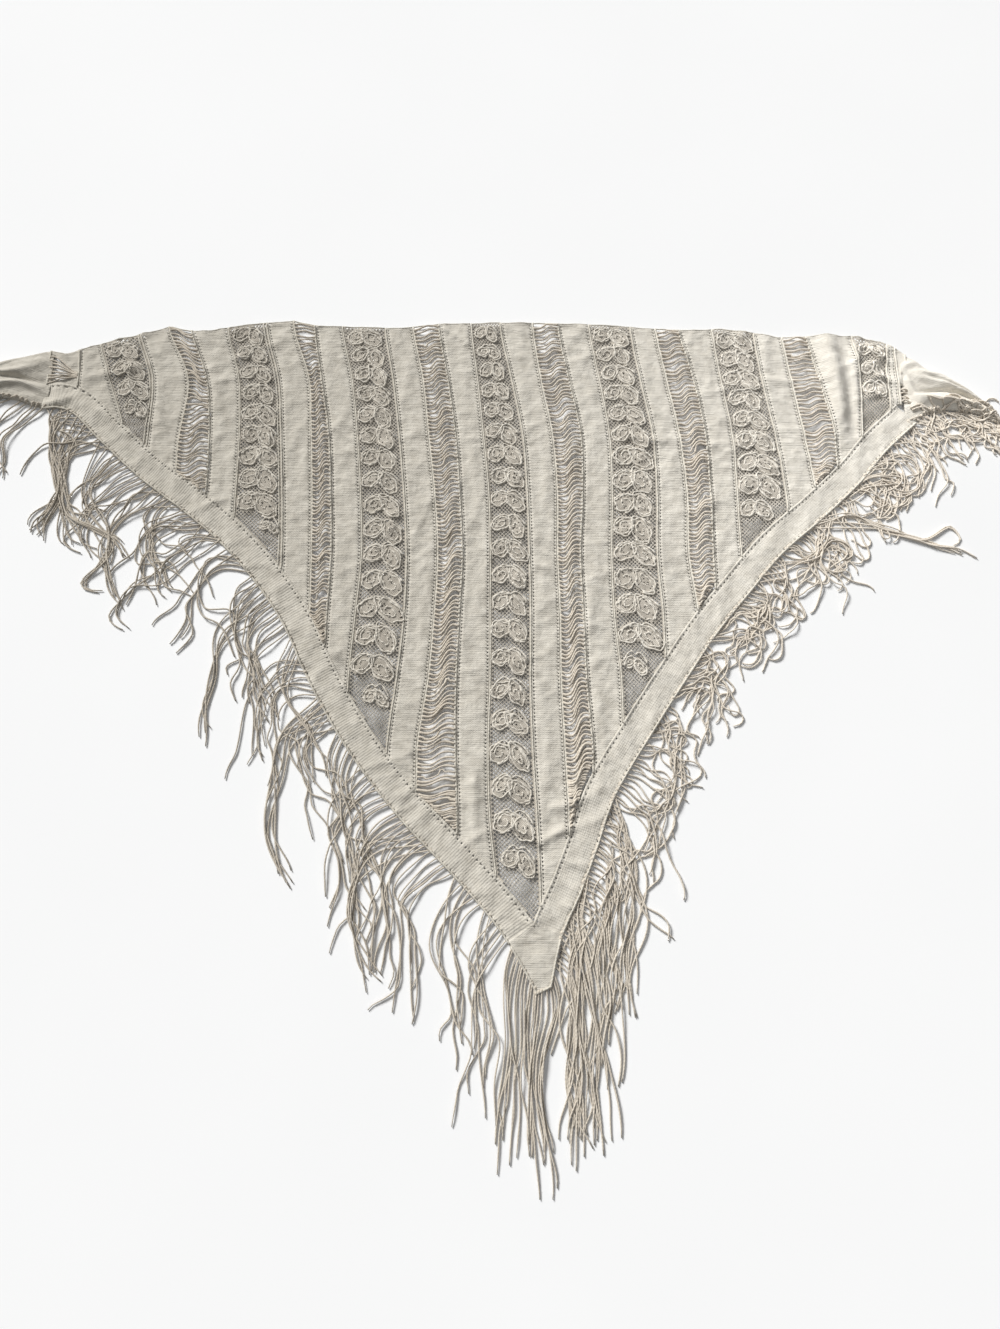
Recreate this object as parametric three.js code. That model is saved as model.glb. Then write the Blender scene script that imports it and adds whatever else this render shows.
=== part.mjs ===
// A knitted triangle shawl with ladder and lace bands and a long fringe, laid flat on a surface.
// Millimetres. +X runs along the long neck edge, +Y towards it, +Z up. The cloth lies on z = 0.
import * as THREE from "three";

// Cloth
const WALL = 2;
const SEAM_GAP = 0.3;
const SEAM_STEP = 40;
const EDGE_STEP = 32;
const BORDER_WIDTH = 34;
const STRAIGHT_TURN = 0.01;

// The middle of the whole shawl, fringe included, in the frame that the tables below use.
const MIDDLE = { x: -51, y: -52 };

// Ladder bands
const RAIL = 2.6;
const RUNG_PITCH = 9;
const RUNG_WIDTH = 3.6;
const RUNG_LEAN = 3.4;
const RUNG_LEAN_WAVE = 96;
const SHORTEST_GAP = 8;

// Lace bands
const MOTIF_RISE = 1.3;
const MOTIF_MARGIN = 4;
const MOTIF_NARROWEST = 0.9;
const MOTIF_FIRST = 17;
const MOTIF_PITCH = { atTop: 27, atTip: 44 };
const LEAF = { across: 0.31, drop: 0, halfLength: 0.27, halfWidth: 0.32, tilt: 0.45, corners: 6 };
const ROSETTE = { across: 0.8, drop: 0.08, halfLength: 0.17, halfWidth: 0.3, tilt: 0, corners: 4 };

// Fringe
const STRIP_WIDTH = 4;
const STRIP_LIFT = 0.3;
const STRIP_TOP = 2.2;
const STRAND_LOW = 0.5;
const ROOT_MARGIN = 0.5;
const STRAND_WIDTH = 2.8;
const STRAND_TIP = 1.8;
const STRAND_STEPS = 4;
const STRAND_RISE = 1.6;

// The heights at which the seams between the bands are given, from the neck edge down.
const LEVEL_TOP = 460;
const LEVEL_STEP = 80;

// Seams between the bands, from left to right. Each row names the band to the right of its seam and
// gives the seam's x at y = 460, 380, 300, 220, 140, 60, -20, -100, -180 and -260.
const SEAMS = [
  { band: "ladder_0", x: [-590, -589] },
  { band: "plain_0", x: [-552, -546] },
  { band: "lace_1", x: [-532, -508, -481] },
  { band: "plain_1", x: [-474, -449, -449] },
  { band: "ladder_1", x: [-438, -406, -411, -410] },
  { band: "plain_2", x: [-406, -379, -370, -368] },
  { band: "lace_2", x: [-360, -340, -334, -333] },
  { band: "plain_3", x: [-306, -286, -278, -272, -268] },
  { band: "ladder_2", x: [-273, -249, -242, -237, -234, -232] },
  { band: "plain_4", x: [-243, -230, -217, -211, -207, -209] },
  { band: "lace_3", x: [-209, -193, -183, -176, -172, -177, -182] },
  { band: "plain_5", x: [-150, -137, -127, -119, -114, -115, -122, -131] },
  { band: "ladder_3", x: [-116, -101, -92, -83, -78, -81, -87, -98] },
  { band: "plain_6", x: [-79, -66, -55, -49, -45, -48, -51, -51, -48] },
  { band: "lace_4", x: [-39, -30, -22, -15, -13, -13, -13, -15, -13, -5] },
  { band: "plain_7", x: [2, 17, 31, 36, 38, 39, 38, 40, 44, 47] },
  { band: "ladder_4", x: [42, 52, 66, 71, 70, 72, 72, 75, 78] },
  { band: "plain_8", x: [78, 91, 105, 105, 101, 103, 105, 110] },
  { band: "lace_5", x: [116, 128, 139, 140, 137, 138, 144] },
  { band: "plain_9", x: [173, 184, 197, 199, 196, 200] },
  { band: "ladder_5", x: [203, 215, 228, 234, 232, 240] },
  { band: "plain_10", x: [236, 253, 264, 266, 265] },
  { band: "lace_6", x: [278, 286, 296, 297] },
  { band: "plain_11", x: [335, 342, 354, 361] },
  { band: "ladder_6", x: [368, 377, 388, 396] },
  { band: "plain_12", x: [402, 416, 429] },
  { band: "lace_7", x: [460, 466, 461] },
  { band: "plain_13", x: [510, 505] },
  { band: "ladder_7", x: [516, 515] },
  { band: null, x: [531, 531] },
];

// The neck edge: a nearly straight line with a soft peak over the second and sixth ladders.
const NECK_EDGE = [
  { x: -590, y: 424 },
  { x: -568, y: 418 },
  { x: -539, y: 429 },
  { x: -507, y: 439 },
  { x: -462, y: 451 },
  { x: -434, y: 459 },
  { x: -403, y: 452 },
  { x: -377, y: 454 },
  { x: -331, y: 462 },
  { x: -272, y: 468 },
  { x: -240, y: 460 },
  { x: -185, y: 459 },
  { x: -132, y: 457 },
  { x: -79, y: 463 },
  { x: 0, y: 465 },
  { x: 106, y: 463 },
  { x: 159, y: 460 },
  { x: 205, y: 456 },
  { x: 250, y: 454 },
  { x: 291, y: 456 },
  { x: 330, y: 451 },
  { x: 369, y: 443 },
  { x: 415, y: 445 },
  { x: 462, y: 444 },
  { x: 501, y: 436 },
  { x: 519, y: 426 },
  { x: 533, y: 414 },
];

// The outer edge of the knitted border, left side from the tail down to the tip.
const LEFT_EDGE = [
  { x: -590, y: 339 },
  { x: -556, y: 336 },
  { x: -512, y: 295 },
  { x: -456, y: 243 },
  { x: -395, y: 196 },
  { x: -348, y: 156 },
  { x: -300, y: 103 },
  { x: -262, y: 48 },
  { x: -233, y: -12 },
  { x: -194, y: -80 },
  { x: -157, y: -133 },
  { x: -109, y: -190 },
  { x: -57, y: -243 },
  { x: -4, y: -302 },
  { x: 24, y: -345 },
  { x: 40, y: -374 },
];

// The outer edge of the border, right side from the tip up to the folded tail.
const RIGHT_EDGE = [
  { x: 57, y: -366 },
  { x: 70, y: -312 },
  { x: 92, y: -264 },
  { x: 112, y: -214 },
  { x: 132, y: -160 },
  { x: 183, y: -78 },
  { x: 226, y: -14 },
  { x: 264, y: 40 },
  { x: 304, y: 88 },
  { x: 348, y: 139 },
  { x: 402, y: 186 },
  { x: 455, y: 236 },
  { x: 491, y: 278 },
  { x: 534, y: 318 },
];

// The main creases: a soft ridge of the given height and half width along a line within its band.
const CREASES = [
  { band: "plain_12", x1: 436, y1: 436, x2: 447, y2: 318, rise: 6, half: 15 },
  { band: "plain_11", x1: 346, y1: 381, x2: 373, y2: 384, rise: 3, half: 6 },
  { band: "plain_9", x1: 200, y1: 297, x2: 222, y2: 299, rise: 3, half: 6 },
  { band: "plain_7", x1: 45, y1: -176, x2: 68, y2: -166, rise: 3, half: 6 },
  { band: "plain_6", x1: -72, y1: 448, x2: -44, y2: 424, rise: 4, half: 8 },
  { band: "plain_6", x1: -36, y1: -124, x2: -31, y2: -188, rise: 4, half: 10 },
  { band: "plain_4", x1: -205, y1: 36, x2: -187, y2: 4, rise: 4, half: 6 },
  { band: "plain_2", x1: -370, y1: 376, x2: -348, y2: 382, rise: 3, half: 6 },
  { band: "plain_2", x1: -362, y1: 223, x2: -343, y2: 232, rise: 3, half: 5 },
  { band: "plain_0", x1: -540, y1: 386, x2: -514, y2: 392, rise: 4, half: 6 },
];

const CREASE_SHOULDERS = [0.3, 0.7];

// The gathered left tail and the folded right tail: cross-sections from one end to the other.
// low and high are the section's two sides in y, and rise is its height over the surface.
const LEFT_TAIL = [
  { x: -738, low: 372, high: 398, rise: 5 },
  { x: -722, low: 364, high: 403, rise: 8 },
  { x: -690, low: 359, high: 405, rise: 11 },
  { x: -655, low: 356, high: 406, rise: 13 },
  { x: -622, low: 351, high: 414, rise: 12 },
  { x: -602, low: 342, high: 421, rise: 8 },
  { x: -590.3, low: 340, high: 424, rise: 4 },
];
const RIGHT_TAIL = [
  { x: 531.6, low: 327, high: 404, rise: 5 },
  { x: 545, low: 342, high: 398, rise: 10 },
  { x: 566, low: 341, high: 390, rise: 12 },
  { x: 590, low: 337, high: 376, rise: 12 },
  { x: 615, low: 328, high: 356, rise: 10 },
  { x: 634, low: 316, high: 336, rise: 7 },
  { x: 646, low: 304, high: 318, rise: 4 },
];

// A tail's cross-section: share of its width and share of its rise, over three soft folds.
const TAIL_FOLDS = [
  { across: 0, up: 0.3 },
  { across: 0.1, up: 0.72 },
  { across: 0.27, up: 0.6 },
  { across: 0.42, up: 1 },
  { across: 0.6, up: 0.74 },
  { across: 0.77, up: 0.95 },
  { across: 0.92, up: 0.6 },
  { across: 1, up: 0.3 },
];

// How the fringe falls along each edge. At each place (share of the edge's length) a strand leaves
// in the direction start, in degrees from +X, bends to the direction end, and has the given length.
const FRINGES = {
  tail_left: {
    pitch: 13,
    falls: [
      { place: 0, start: 232, end: 262, length: 150 },
      { place: 0.5, start: 226, end: 258, length: 158 },
      { place: 1, start: 222, end: 254, length: 150 },
    ],
  },
  left: {
    pitch: 15,
    falls: [
      { place: 0, start: 224, end: 262, length: 150 },
      { place: 0.1, start: 200, end: 266, length: 175 },
      { place: 0.3, start: 190, end: 258, length: 165 },
      { place: 0.5, start: 194, end: 262, length: 180 },
      { place: 0.7, start: 206, end: 268, length: 185 },
      { place: 0.9, start: 216, end: 260, length: 190 },
      { place: 1, start: 236, end: 264, length: 200 },
    ],
  },
  tip: {
    pitch: 12,
    falls: [
      { place: 0, start: 248, end: 268, length: 205 },
      { place: 0.5, start: 268, end: 271, length: 195 },
      { place: 1, start: 312, end: 273, length: 205 },
    ],
  },
  right: {
    pitch: 15,
    falls: [
      { place: 0, start: 318, end: 274, length: 190 },
      { place: 0.15, start: 333, end: 275, length: 145 },
      { place: 0.3, start: 340, end: 270, length: 112 },
      { place: 0.6, start: 348, end: 260, length: 108 },
      { place: 0.75, start: 355, end: 264, length: 125 },
      { place: 0.9, start: 352, end: 274, length: 140 },
      { place: 1, start: 322, end: 282, length: 110 },
    ],
  },
  tail_right: {
    pitch: 12,
    falls: [
      { place: 0, start: 308, end: 288, length: 80 },
      { place: 0.5, start: 310, end: 290, length: 82 },
      { place: 1, start: 310, end: 290, length: 84 },
    ],
  },
};
const WAVE_TURN = 7;
const WAVE_COUNT = 1.6;
const WAVE_DRIFT = 0.04;

// Strands of a fringe differ in length: only their last stretch is shorter or longer.
const LAST_STRIDE = 0.8;
const LAST_STRIDE_SPREAD = 0.35;
const LENGTH_BEAT = 2.4;

const COLOURS = { plain: 0xcdc8bc, lace: 0xbfb8aa, ladder: 0xc6bfb1, border: 0xd2cdc2, fringe: 0xc8bfae };

const shawl = new THREE.Group();
shawl.position.set(-MIDDLE.x, -MIDDLE.y, 0);

const radians = (degrees) => (degrees * Math.PI) / 180;
const mix = (a, b, t) => a + (b - a) * t;

// A smooth curve through values at equal steps, held straight past the last one.
function smoothValue(values, at) {
  const last = values.length - 1;
  const index = THREE.MathUtils.clamp(Math.floor(at), 0, last - 1);
  const t = Math.min(at - index, 1);
  const pick = (i) => values[THREE.MathUtils.clamp(i, 0, last)];
  const [a, b, c, d] = [index - 1, index, index + 1, index + 2].map(pick);
  return b + 0.5 * t * (c - a + t * (2 * a - 5 * b + 4 * c - d + t * (3 * (b - c) + d - a)));
}

const seamX = (seam, y) => smoothValue(seam.x, (LEVEL_TOP - y) / LEVEL_STEP);

// The y of a line of points, which run left to right, at a given x.
function heightOn(points, x) {
  let i = 1;
  while (i < points.length - 1 && points[i].x < x) {
    i += 1;
  }
  const [a, b] = [points[i - 1], points[i]];
  return mix(a.y, b.y, (x - a.x) / (b.x - a.x));
}

// Points at even steps along a smooth curve through a table's rows, each with its inward normal.
function evenPoints(rows, step) {
  const points = rows.map((row) => new THREE.Vector3(row.x, row.y, 0));
  const curve = new THREE.CatmullRomCurve3(points, false, "centripetal");
  const count = Math.round(curve.getLength() / step);
  return Array.from({ length: count + 1 }, (_, i) => {
    const place = curve.getPointAt(i / count);
    const way = curve.getTangentAt(i / count);
    return { x: place.x, y: place.y, nx: -way.y, ny: way.x };
  });
}

const movedIn = (points, by) => points.map((p) => ({ x: p.x + p.nx * by, y: p.y + p.ny * by }));

// Where two lines of points cross: the place, and the index of the point before it on each line.
function crossing(first, second) {
  for (let i = 1; i < first.length; i += 1) {
    for (let j = 1; j < second.length; j += 1) {
      const [a, b, c, d] = [first[i - 1], first[i], second[j - 1], second[j]];
      const turn = (b.x - a.x) * (d.y - c.y) - (b.y - a.y) * (d.x - c.x);
      const s = ((c.x - a.x) * (d.y - c.y) - (c.y - a.y) * (d.x - c.x)) / turn;
      const t = ((c.x - a.x) * (b.y - a.y) - (c.y - a.y) * (b.x - a.x)) / turn;
      if (s >= 0 && s <= 1 && t >= 0 && t <= 1) {
        return { x: mix(a.x, b.x, s), y: mix(a.y, b.y, s), i: i - 1, j: j - 1, s, t };
      }
    }
  }
  throw new Error("the two borders do not meet");
}

const leftEdge = evenPoints(LEFT_EDGE, EDGE_STEP);
const rightEdge = evenPoints(RIGHT_EDGE, EDGE_STEP);

// The lower end of the bands: one V-shaped line along both borders, parted from them by the gap.
function vLine(inset) {
  const left = movedIn(leftEdge, inset);
  const right = movedIn(rightEdge, inset);
  const meet = crossing(left, right);
  return { points: [...left.slice(0, meet.i + 1), meet, ...right.slice(meet.j + 1)], meet, left, right };
}
const borderLine = vLine(BORDER_WIDTH);
const bandLine = vLine(BORDER_WIDTH + SEAM_GAP);
const bandFloor = (x) => heightOn(bandLine.points, x);
const neckEdge = (x) => heightOn(NECK_EDGE, x);

// The y where a seam meets a line given as a function of x, searched by halving.
function meetY(seam, shift, line) {
  let [low, high] = [-330, 500];
  for (let i = 0; i < 40; i += 1) {
    const middle = (low + high) / 2;
    const above = middle > line(seamX(seam, middle) + shift);
    [low, high] = above ? [low, middle] : [middle, high];
  }
  return (low + high) / 2;
}

// A seam as points from its lower end to the neck edge, moved sideways by half the gap.
function seamPoints(seam, shift) {
  const bottom = meetY(seam, shift, bandFloor);
  const top = meetY(seam, shift, neckEdge);
  const ys = [bottom];
  for (let y = Math.ceil((bottom + 6) / SEAM_STEP) * SEAM_STEP; y < top - 6; y += SEAM_STEP) {
    ys.push(y);
  }
  ys.push(top);
  return ys.map((y) => ({ x: seamX(seam, y) + shift, y }));
}

// A closed outline without the points that lie on a straight stretch.
function cornersOf(ring) {
  return ring.filter((p, i) => {
    const before = ring[(i + ring.length - 1) % ring.length];
    const after = ring[(i + 1) % ring.length];
    const turn = (p.x - before.x) * (after.y - p.y) - (p.y - before.y) * (after.x - p.x);
    return Math.abs(turn) > STRAIGHT_TURN;
  });
}

// The outline of the band between two seams, counterclockwise from its lower left corner.
function bandOutline(leftSeam, rightSeam) {
  const left = seamPoints(leftSeam, SEAM_GAP / 2);
  const right = seamPoints(rightSeam, -SEAM_GAP / 2);
  const between = (points, from, to) => points.filter((p) => p.x > from + SEAM_GAP && p.x < to - SEAM_GAP);
  const floor = between(bandLine.points, left[0].x, right[0].x);
  const top = between(NECK_EDGE, left.at(-1).x, right.at(-1).x);
  return cornersOf([...floor, ...right, ...top.reverse(), ...left.reverse()]);
}

// A closed wall over a flat outline. Holes are cut through, and mounds rise over its upper face.
class Wall {
  constructor(outline, { holes = [], mounds = [], top = WALL, bottom = 0, openEdges = new Set() } = {}) {
    this.places = [];
    this.faces = [];
    const clockwise = (ring) => [...ring].reverse();
    const inner = [...holes.map(clockwise), ...mounds.map((mound) => clockwise(mound.ring))];
    const rings = [outline, ...holes.map(clockwise)];
    this.upper = [outline, ...inner].map((ring) => ring.map((p) => this.add(p, top)));
    this.lower = rings.map((ring) => ring.map((p) => this.add(p, bottom)));
    this.lid([outline, ...inner], this.upper.flat(), false);
    this.lid(rings, this.lower.flat(), true);
    rings.forEach((ring, r) => {
      ring.forEach((_, i) => {
        const j = (i + 1) % ring.length;
        if (r > 0 || !openEdges.has(i)) {
          this.quad(this.lower[r][i], this.lower[r][j], this.upper[r][j], this.upper[r][i]);
        }
      });
    });
    mounds.forEach((mound, m) => this.cover(this.upper[rings.length + m].reverse(), mound, top));
  }

  // The slopes of a mound, from its ring to a peak, or from a ring of six to a ridge of two.
  cover(ring, { peaks, rise }, top) {
    const [first, second] = peaks.map((peak) => this.add(peak, top + rise));
    if (second === undefined) {
      ring.forEach((corner, i) => this.faces.push(corner, ring[(i + 1) % ring.length], first));
      return;
    }
    const [start, a, b, end, c, d] = ring;
    this.faces.push(start, a, first, a, second, first, a, b, second, b, end, second);
    this.faces.push(end, c, second, c, first, second, c, d, first, d, start, first);
  }

  add(place, z) {
    this.places.push(place.x, place.y, z);
    return this.places.length / 3 - 1;
  }

  quad(a, b, c, d) {
    this.faces.push(a, b, c, a, c, d);
  }

  lid(rings, indices, facesDown) {
    const flat = rings.map((ring) => ring.map((p) => new THREE.Vector2(p.x, p.y)));
    for (const [a, b, c] of THREE.ShapeUtils.triangulateShape(flat[0], flat.slice(1))) {
      const face = [indices[a], indices[b], indices[c]];
      this.faces.push(...(facesDown ? face.reverse() : face));
    }
  }

  geometry() {
    const geometry = new THREE.BufferGeometry();
    geometry.setAttribute("position", new THREE.Float32BufferAttribute(this.places, 3));
    geometry.setIndex(this.faces);
    geometry.computeVertexNormals();
    return geometry;
  }
}

function place(name, geometry, colour) {
  const material = new THREE.MeshStandardMaterial({ color: colour, roughness: 0.95, metalness: 0 });
  const mesh = new THREE.Mesh(geometry, material);
  mesh.name = name;
  shawl.add(mesh);
}

// The x range that a band's inside leaves free at a given y, clear of its rails and of the border.
function insideAt(leftSeam, rightSeam, y, margin) {
  const bare = bandLine.points;
  const bottom = bandLine.meet;
  const side = (points) => points.toSorted((a, b) => a.y - b.y).map((p) => ({ x: p.y, y: p.x }));
  const leftLimit = heightOn(side(bare.filter((p) => p.x <= bottom.x)), y);
  const rightLimit = heightOn(side(bare.filter((p) => p.x >= bottom.x)), y);
  return {
    from: Math.max(seamX(leftSeam, y), leftLimit) + margin,
    to: Math.min(seamX(rightSeam, y), rightLimit) - margin,
  };
}

// The gaps of a ladder: one slanted opening between each pair of rungs.
function ladderGaps(leftSeam, rightSeam) {
  const gaps = [];
  const middleX = (leftSeam.x[0] + rightSeam.x[0]) / 2;
  const top = neckEdge(middleX) - RUNG_PITCH;
  for (let y = top; y > bandLine.meet.y; y -= RUNG_PITCH) {
    const lean = RUNG_LEAN * Math.sin((2 * Math.PI * (y + leftSeam.x[0])) / RUNG_LEAN_WAVE);
    const half = (RUNG_PITCH - RUNG_WIDTH) / 2;
    const floor = insideAt(leftSeam, rightSeam, y - half - Math.abs(lean) - RAIL, RAIL);
    const ceiling = insideAt(leftSeam, rightSeam, y + half + Math.abs(lean), RAIL);
    const from = Math.max(floor.from, ceiling.from);
    const to = Math.min(floor.to, ceiling.to);
    const underNeck = Math.min(neckEdge(from), neckEdge(to)) - RAIL;
    if (to - from > SHORTEST_GAP && y + half + Math.abs(lean) < underNeck) {
      gaps.push([
        { x: from, y: y - lean - half },
        { x: to, y: y + lean - half },
        { x: to, y: y + lean + half },
        { x: from, y: y - lean + half },
      ]);
    }
  }
  return gaps;
}

// One raised motif as an oval mound in a band from one x to another: a ring with a peak over it.
function motifMound(shape, from, to, y, pitch) {
  const middle = { x: mix(from, to, shape.across), y: y - pitch * shape.drop };
  const [cos, sin] = [Math.cos(shape.tilt), Math.sin(shape.tilt)];
  const ring = Array.from({ length: shape.corners }, (_, i) => {
    const angle = (2 * Math.PI * i) / shape.corners;
    const u = (to - from) * shape.halfLength * Math.cos(angle);
    const v = pitch * shape.halfWidth * Math.sin(angle);
    return { x: middle.x + u * cos - v * sin, y: middle.y + u * sin + v * cos };
  });
  return { ring, peaks: [middle], rise: MOTIF_RISE };
}

// A crease as a long mound: pointed at both ends, widest near its thirds, with a level ridge.
function creaseMound({ x1, y1, x2, y2, rise, half }) {
  const length = Math.hypot(x2 - x1, y2 - y1);
  const side = { x: (-(y2 - y1) / length) * half, y: ((x2 - x1) / length) * half };
  const at = (share, sign) => ({
    x: mix(x1, x2, share) + sign * side.x,
    y: mix(y1, y2, share) + sign * side.y,
  });
  const [near, far] = CREASE_SHOULDERS;
  const ring = [at(0, 0), at(near, -1), at(far, -1), at(1, 0), at(far, 1), at(near, 1)];
  return { ring, peaks: [at(near, 0), at(far, 0)], rise };
}

// The raised motifs of a lace band: a tilted leaf at the left and a small rosette at the right,
// stacked down the band, each pair larger than the one above it.
function laceMotifs(leftSeam, rightSeam) {
  const motifs = [];
  const middleX = (leftSeam.x[0] + rightSeam.x[0]) / 2;
  const lowest = bandLine.meet.y;
  let y = neckEdge(middleX) - MOTIF_FIRST;
  while (y > lowest) {
    const pitch = THREE.MathUtils.mapLinear(y, LEVEL_TOP, lowest, MOTIF_PITCH.atTop, MOTIF_PITCH.atTip);
    const floor = insideAt(leftSeam, rightSeam, y - pitch / 2, MOTIF_MARGIN);
    const ceiling = insideAt(leftSeam, rightSeam, y + pitch / 2, MOTIF_MARGIN);
    const from = Math.max(floor.from, ceiling.from);
    const to = Math.min(floor.to, ceiling.to);
    if (to - from > pitch * MOTIF_NARROWEST) {
      motifs.push(motifMound(LEAF, from, to, y, pitch), motifMound(ROSETTE, from, to, y, pitch));
    }
    y -= pitch;
  }
  return motifs;
}

for (let i = 0; i < SEAMS.length - 1; i += 1) {
  const [left, right] = [SEAMS[i], SEAMS[i + 1]];
  const kind = left.band.split("_")[0];
  const holes = kind === "ladder" ? ladderGaps(left, right) : [];
  const creases = CREASES.filter((crease) => crease.band === left.band).map(creaseMound);
  const mounds = kind === "lace" ? laceMotifs(left, right) : creases;
  place(left.band, new Wall(bandOutline(left, right), { holes, mounds }).geometry(), COLOURS[kind]);
}

// The knitted border: a strip of even width along each lower edge, and the blunt tip between them.
function buildBorders() {
  const { meet, left, right } = borderLine;
  const foot = (edge, index, share) => ({
    x: mix(edge[index].x, edge[index + 1].x, share),
    y: mix(edge[index].y, edge[index + 1].y, share),
  });
  const leftFoot = foot(leftEdge, meet.i, meet.s);
  const rightFoot = foot(rightEdge, meet.j, meet.t);
  const leftOuter = [...leftEdge.slice(0, meet.i + 1), leftFoot];
  const leftInner = [...left.slice(0, meet.i + 1), { x: meet.x - SEAM_GAP / 2, y: meet.y }];
  const rightOuter = [rightFoot, ...rightEdge.slice(meet.j + 1)];
  const rightInner = [{ x: meet.x + SEAM_GAP / 2, y: meet.y }, ...right.slice(meet.j + 1)];
  place("border_left", new Wall([...leftOuter, ...leftInner.reverse()]).geometry(), COLOURS.border);
  place("border_right", new Wall([...rightOuter, ...rightInner.reverse()]).geometry(), COLOURS.border);

  const parted = (from, to) => {
    const length = Math.hypot(to.x - from.x, to.y - from.y);
    return { x: ((to.y - from.y) * SEAM_GAP) / length, y: (-(to.x - from.x) * SEAM_GAP) / length };
  };
  const offLeft = parted(meet, leftFoot);
  const offRight = parted(rightFoot, meet);
  const outline = [
    { x: meet.x, y: meet.y - 2 * SEAM_GAP },
    { x: leftFoot.x - offLeft.x, y: leftFoot.y - offLeft.y },
    ...leftEdge.slice(meet.i + 1),
    ...rightEdge.slice(0, meet.j + 1),
    { x: rightFoot.x - offRight.x, y: rightFoot.y - offRight.y },
  ];
  place("tip", new Wall(outline).geometry(), COLOURS.border);
  return { leftOuter, rightOuter, tipOuter: outline.slice(1) };
}
const outer = buildBorders();

// A gathered tail: its folded layers as one rounded solid with a flat underside.
function tailGeometry(rows) {
  const places = [];
  const faces = [];
  const round = TAIL_FOLDS.length + 2;
  for (const row of rows) {
    places.push(row.x, row.high, 0, row.x, row.low, 0);
    for (const fold of TAIL_FOLDS) {
      places.push(row.x, mix(row.low, row.high, fold.across), row.rise * fold.up);
    }
  }
  for (let r = 1; r < rows.length; r += 1) {
    for (let i = 0; i < round; i += 1) {
      const j = (i + 1) % round;
      const [a, b, c, d] = [(r - 1) * round + i, (r - 1) * round + j, r * round + j, r * round + i];
      faces.push(a, c, b, a, d, c);
    }
  }
  const last = (rows.length - 1) * round;
  for (let i = 1; i < round - 1; i += 1) {
    faces.push(0, i, i + 1, last, last + i + 1, last + i);
  }
  const geometry = new THREE.BufferGeometry();
  geometry.setAttribute("position", new THREE.Float32BufferAttribute(places, 3));
  geometry.setIndex(faces);
  geometry.computeVertexNormals();
  return geometry;
}
place("tail_left", tailGeometry(LEFT_TAIL), COLOURS.plain);
place("tail_right", tailGeometry(RIGHT_TAIL), COLOURS.plain);

// How a strand falls at a place along its edge, worked out between the table's rows.
function fallAt(falls, share) {
  let i = 1;
  while (i < falls.length - 1 && falls[i].place < share) {
    i += 1;
  }
  const [a, b] = [falls[i - 1], falls[i]];
  const t = (share - a.place) / (b.place - a.place);
  const turn = ((b.start - a.start + 540) % 360) - 180;
  return { start: a.start + turn * t, end: mix(a.end, b.end, t), length: mix(a.length, b.length, t) };
}

// The middle line of a strand: it leaves its root in one direction and bends to another.
function strandLine(root, fall, number) {
  const line = [root];
  const turn = ((fall.end - fall.start + 540) % 360) - 180;
  const lastStride = LAST_STRIDE + LAST_STRIDE_SPREAD * Math.sin(number * LENGTH_BEAT);
  for (let step = 1; step <= STRAND_STEPS; step += 1) {
    const share = (step - 0.5) / STRAND_STEPS;
    const bend = 1 - (1 - share) ** 2;
    const wave = WAVE_TURN * Math.sin(2 * Math.PI * (share * WAVE_COUNT + number * WAVE_DRIFT));
    const angle = radians(fall.start + turn * bend + wave);
    const stride = (fall.length / STRAND_STEPS) * (step === STRAND_STEPS ? lastStride : 1);
    const from = line.at(-1);
    line.push({ x: from.x + stride * Math.cos(angle), y: from.y + stride * Math.sin(angle) });
  }
  return line;
}

// A line of points moved outward, to its right, with mitred corners.
function movedOut(points, by) {
  return points.map((p, i) => {
    const [before, after] = [points[Math.max(i - 1, 0)], points[Math.min(i + 1, points.length - 1)]];
    const unit = (a, b) => new THREE.Vector2(b.x - a.x, b.y - a.y).normalize();
    const [into, away] = [unit(i ? before : p, i ? p : after), unit(after === p ? before : p, after)];
    const mitre = into.clone().add(away).normalize();
    const reach = by / mitre.dot(into);
    return { x: p.x + mitre.y * reach, y: p.y - mitre.x * reach };
  });
}

// A narrow strip along an edge with its strands: each strand grows out of one span of the strip.
function fringeGeometry(edge, { pitch, falls }) {
  const inner = movedOut(edge, SEAM_GAP);
  const rimCorners = movedOut(edge, STRIP_WIDTH);
  const shares = [0];
  for (let i = 1; i < rimCorners.length; i += 1) {
    const [a, b] = [rimCorners[i - 1], rimCorners[i]];
    shares.push(shares[i - 1] + Math.hypot(b.x - a.x, b.y - a.y));
  }
  const length = shares.at(-1);
  const onRim = (along) => {
    let i = 1;
    while (i < shares.length - 1 && shares[i] < along) {
      i += 1;
    }
    const t = (along - shares[i - 1]) / (shares[i] - shares[i - 1]);
    return { x: mix(rimCorners[i - 1].x, rimCorners[i].x, t), y: mix(rimCorners[i - 1].y, rimCorners[i].y, t) };
  };
  const count = Math.floor(length / pitch);
  const half = STRAND_WIDTH / 2;
  const roots = Array.from({ length: count }, (_, i) => ((i + 0.5) * length) / count);
  const inRoot = (along) => roots.some((root) => Math.abs(root - along) < half + ROOT_MARGIN);
  const stations = [
    ...shares.filter((along) => !inRoot(along)).map((along) => ({ along })),
    ...roots.flatMap((root, strand) => [{ along: root - half, strand }, { along: root + half }]),
  ].sort((a, b) => a.along - b.along);
  const outline = [...stations.map((station) => onRim(station.along)), ...inner.reverse()];
  const starts = stations.flatMap((station, i) => (station.strand === undefined ? [] : [i]));
  const wall = new Wall(outline, { top: STRIP_TOP, bottom: STRIP_LIFT, openEdges: new Set(starts) });
  starts.forEach((near, number) => {
    growStrand(wall, near, onRim(roots[number]), number, fallAt(falls, roots[number] / length));
  });
  return wall.geometry();
}

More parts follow.
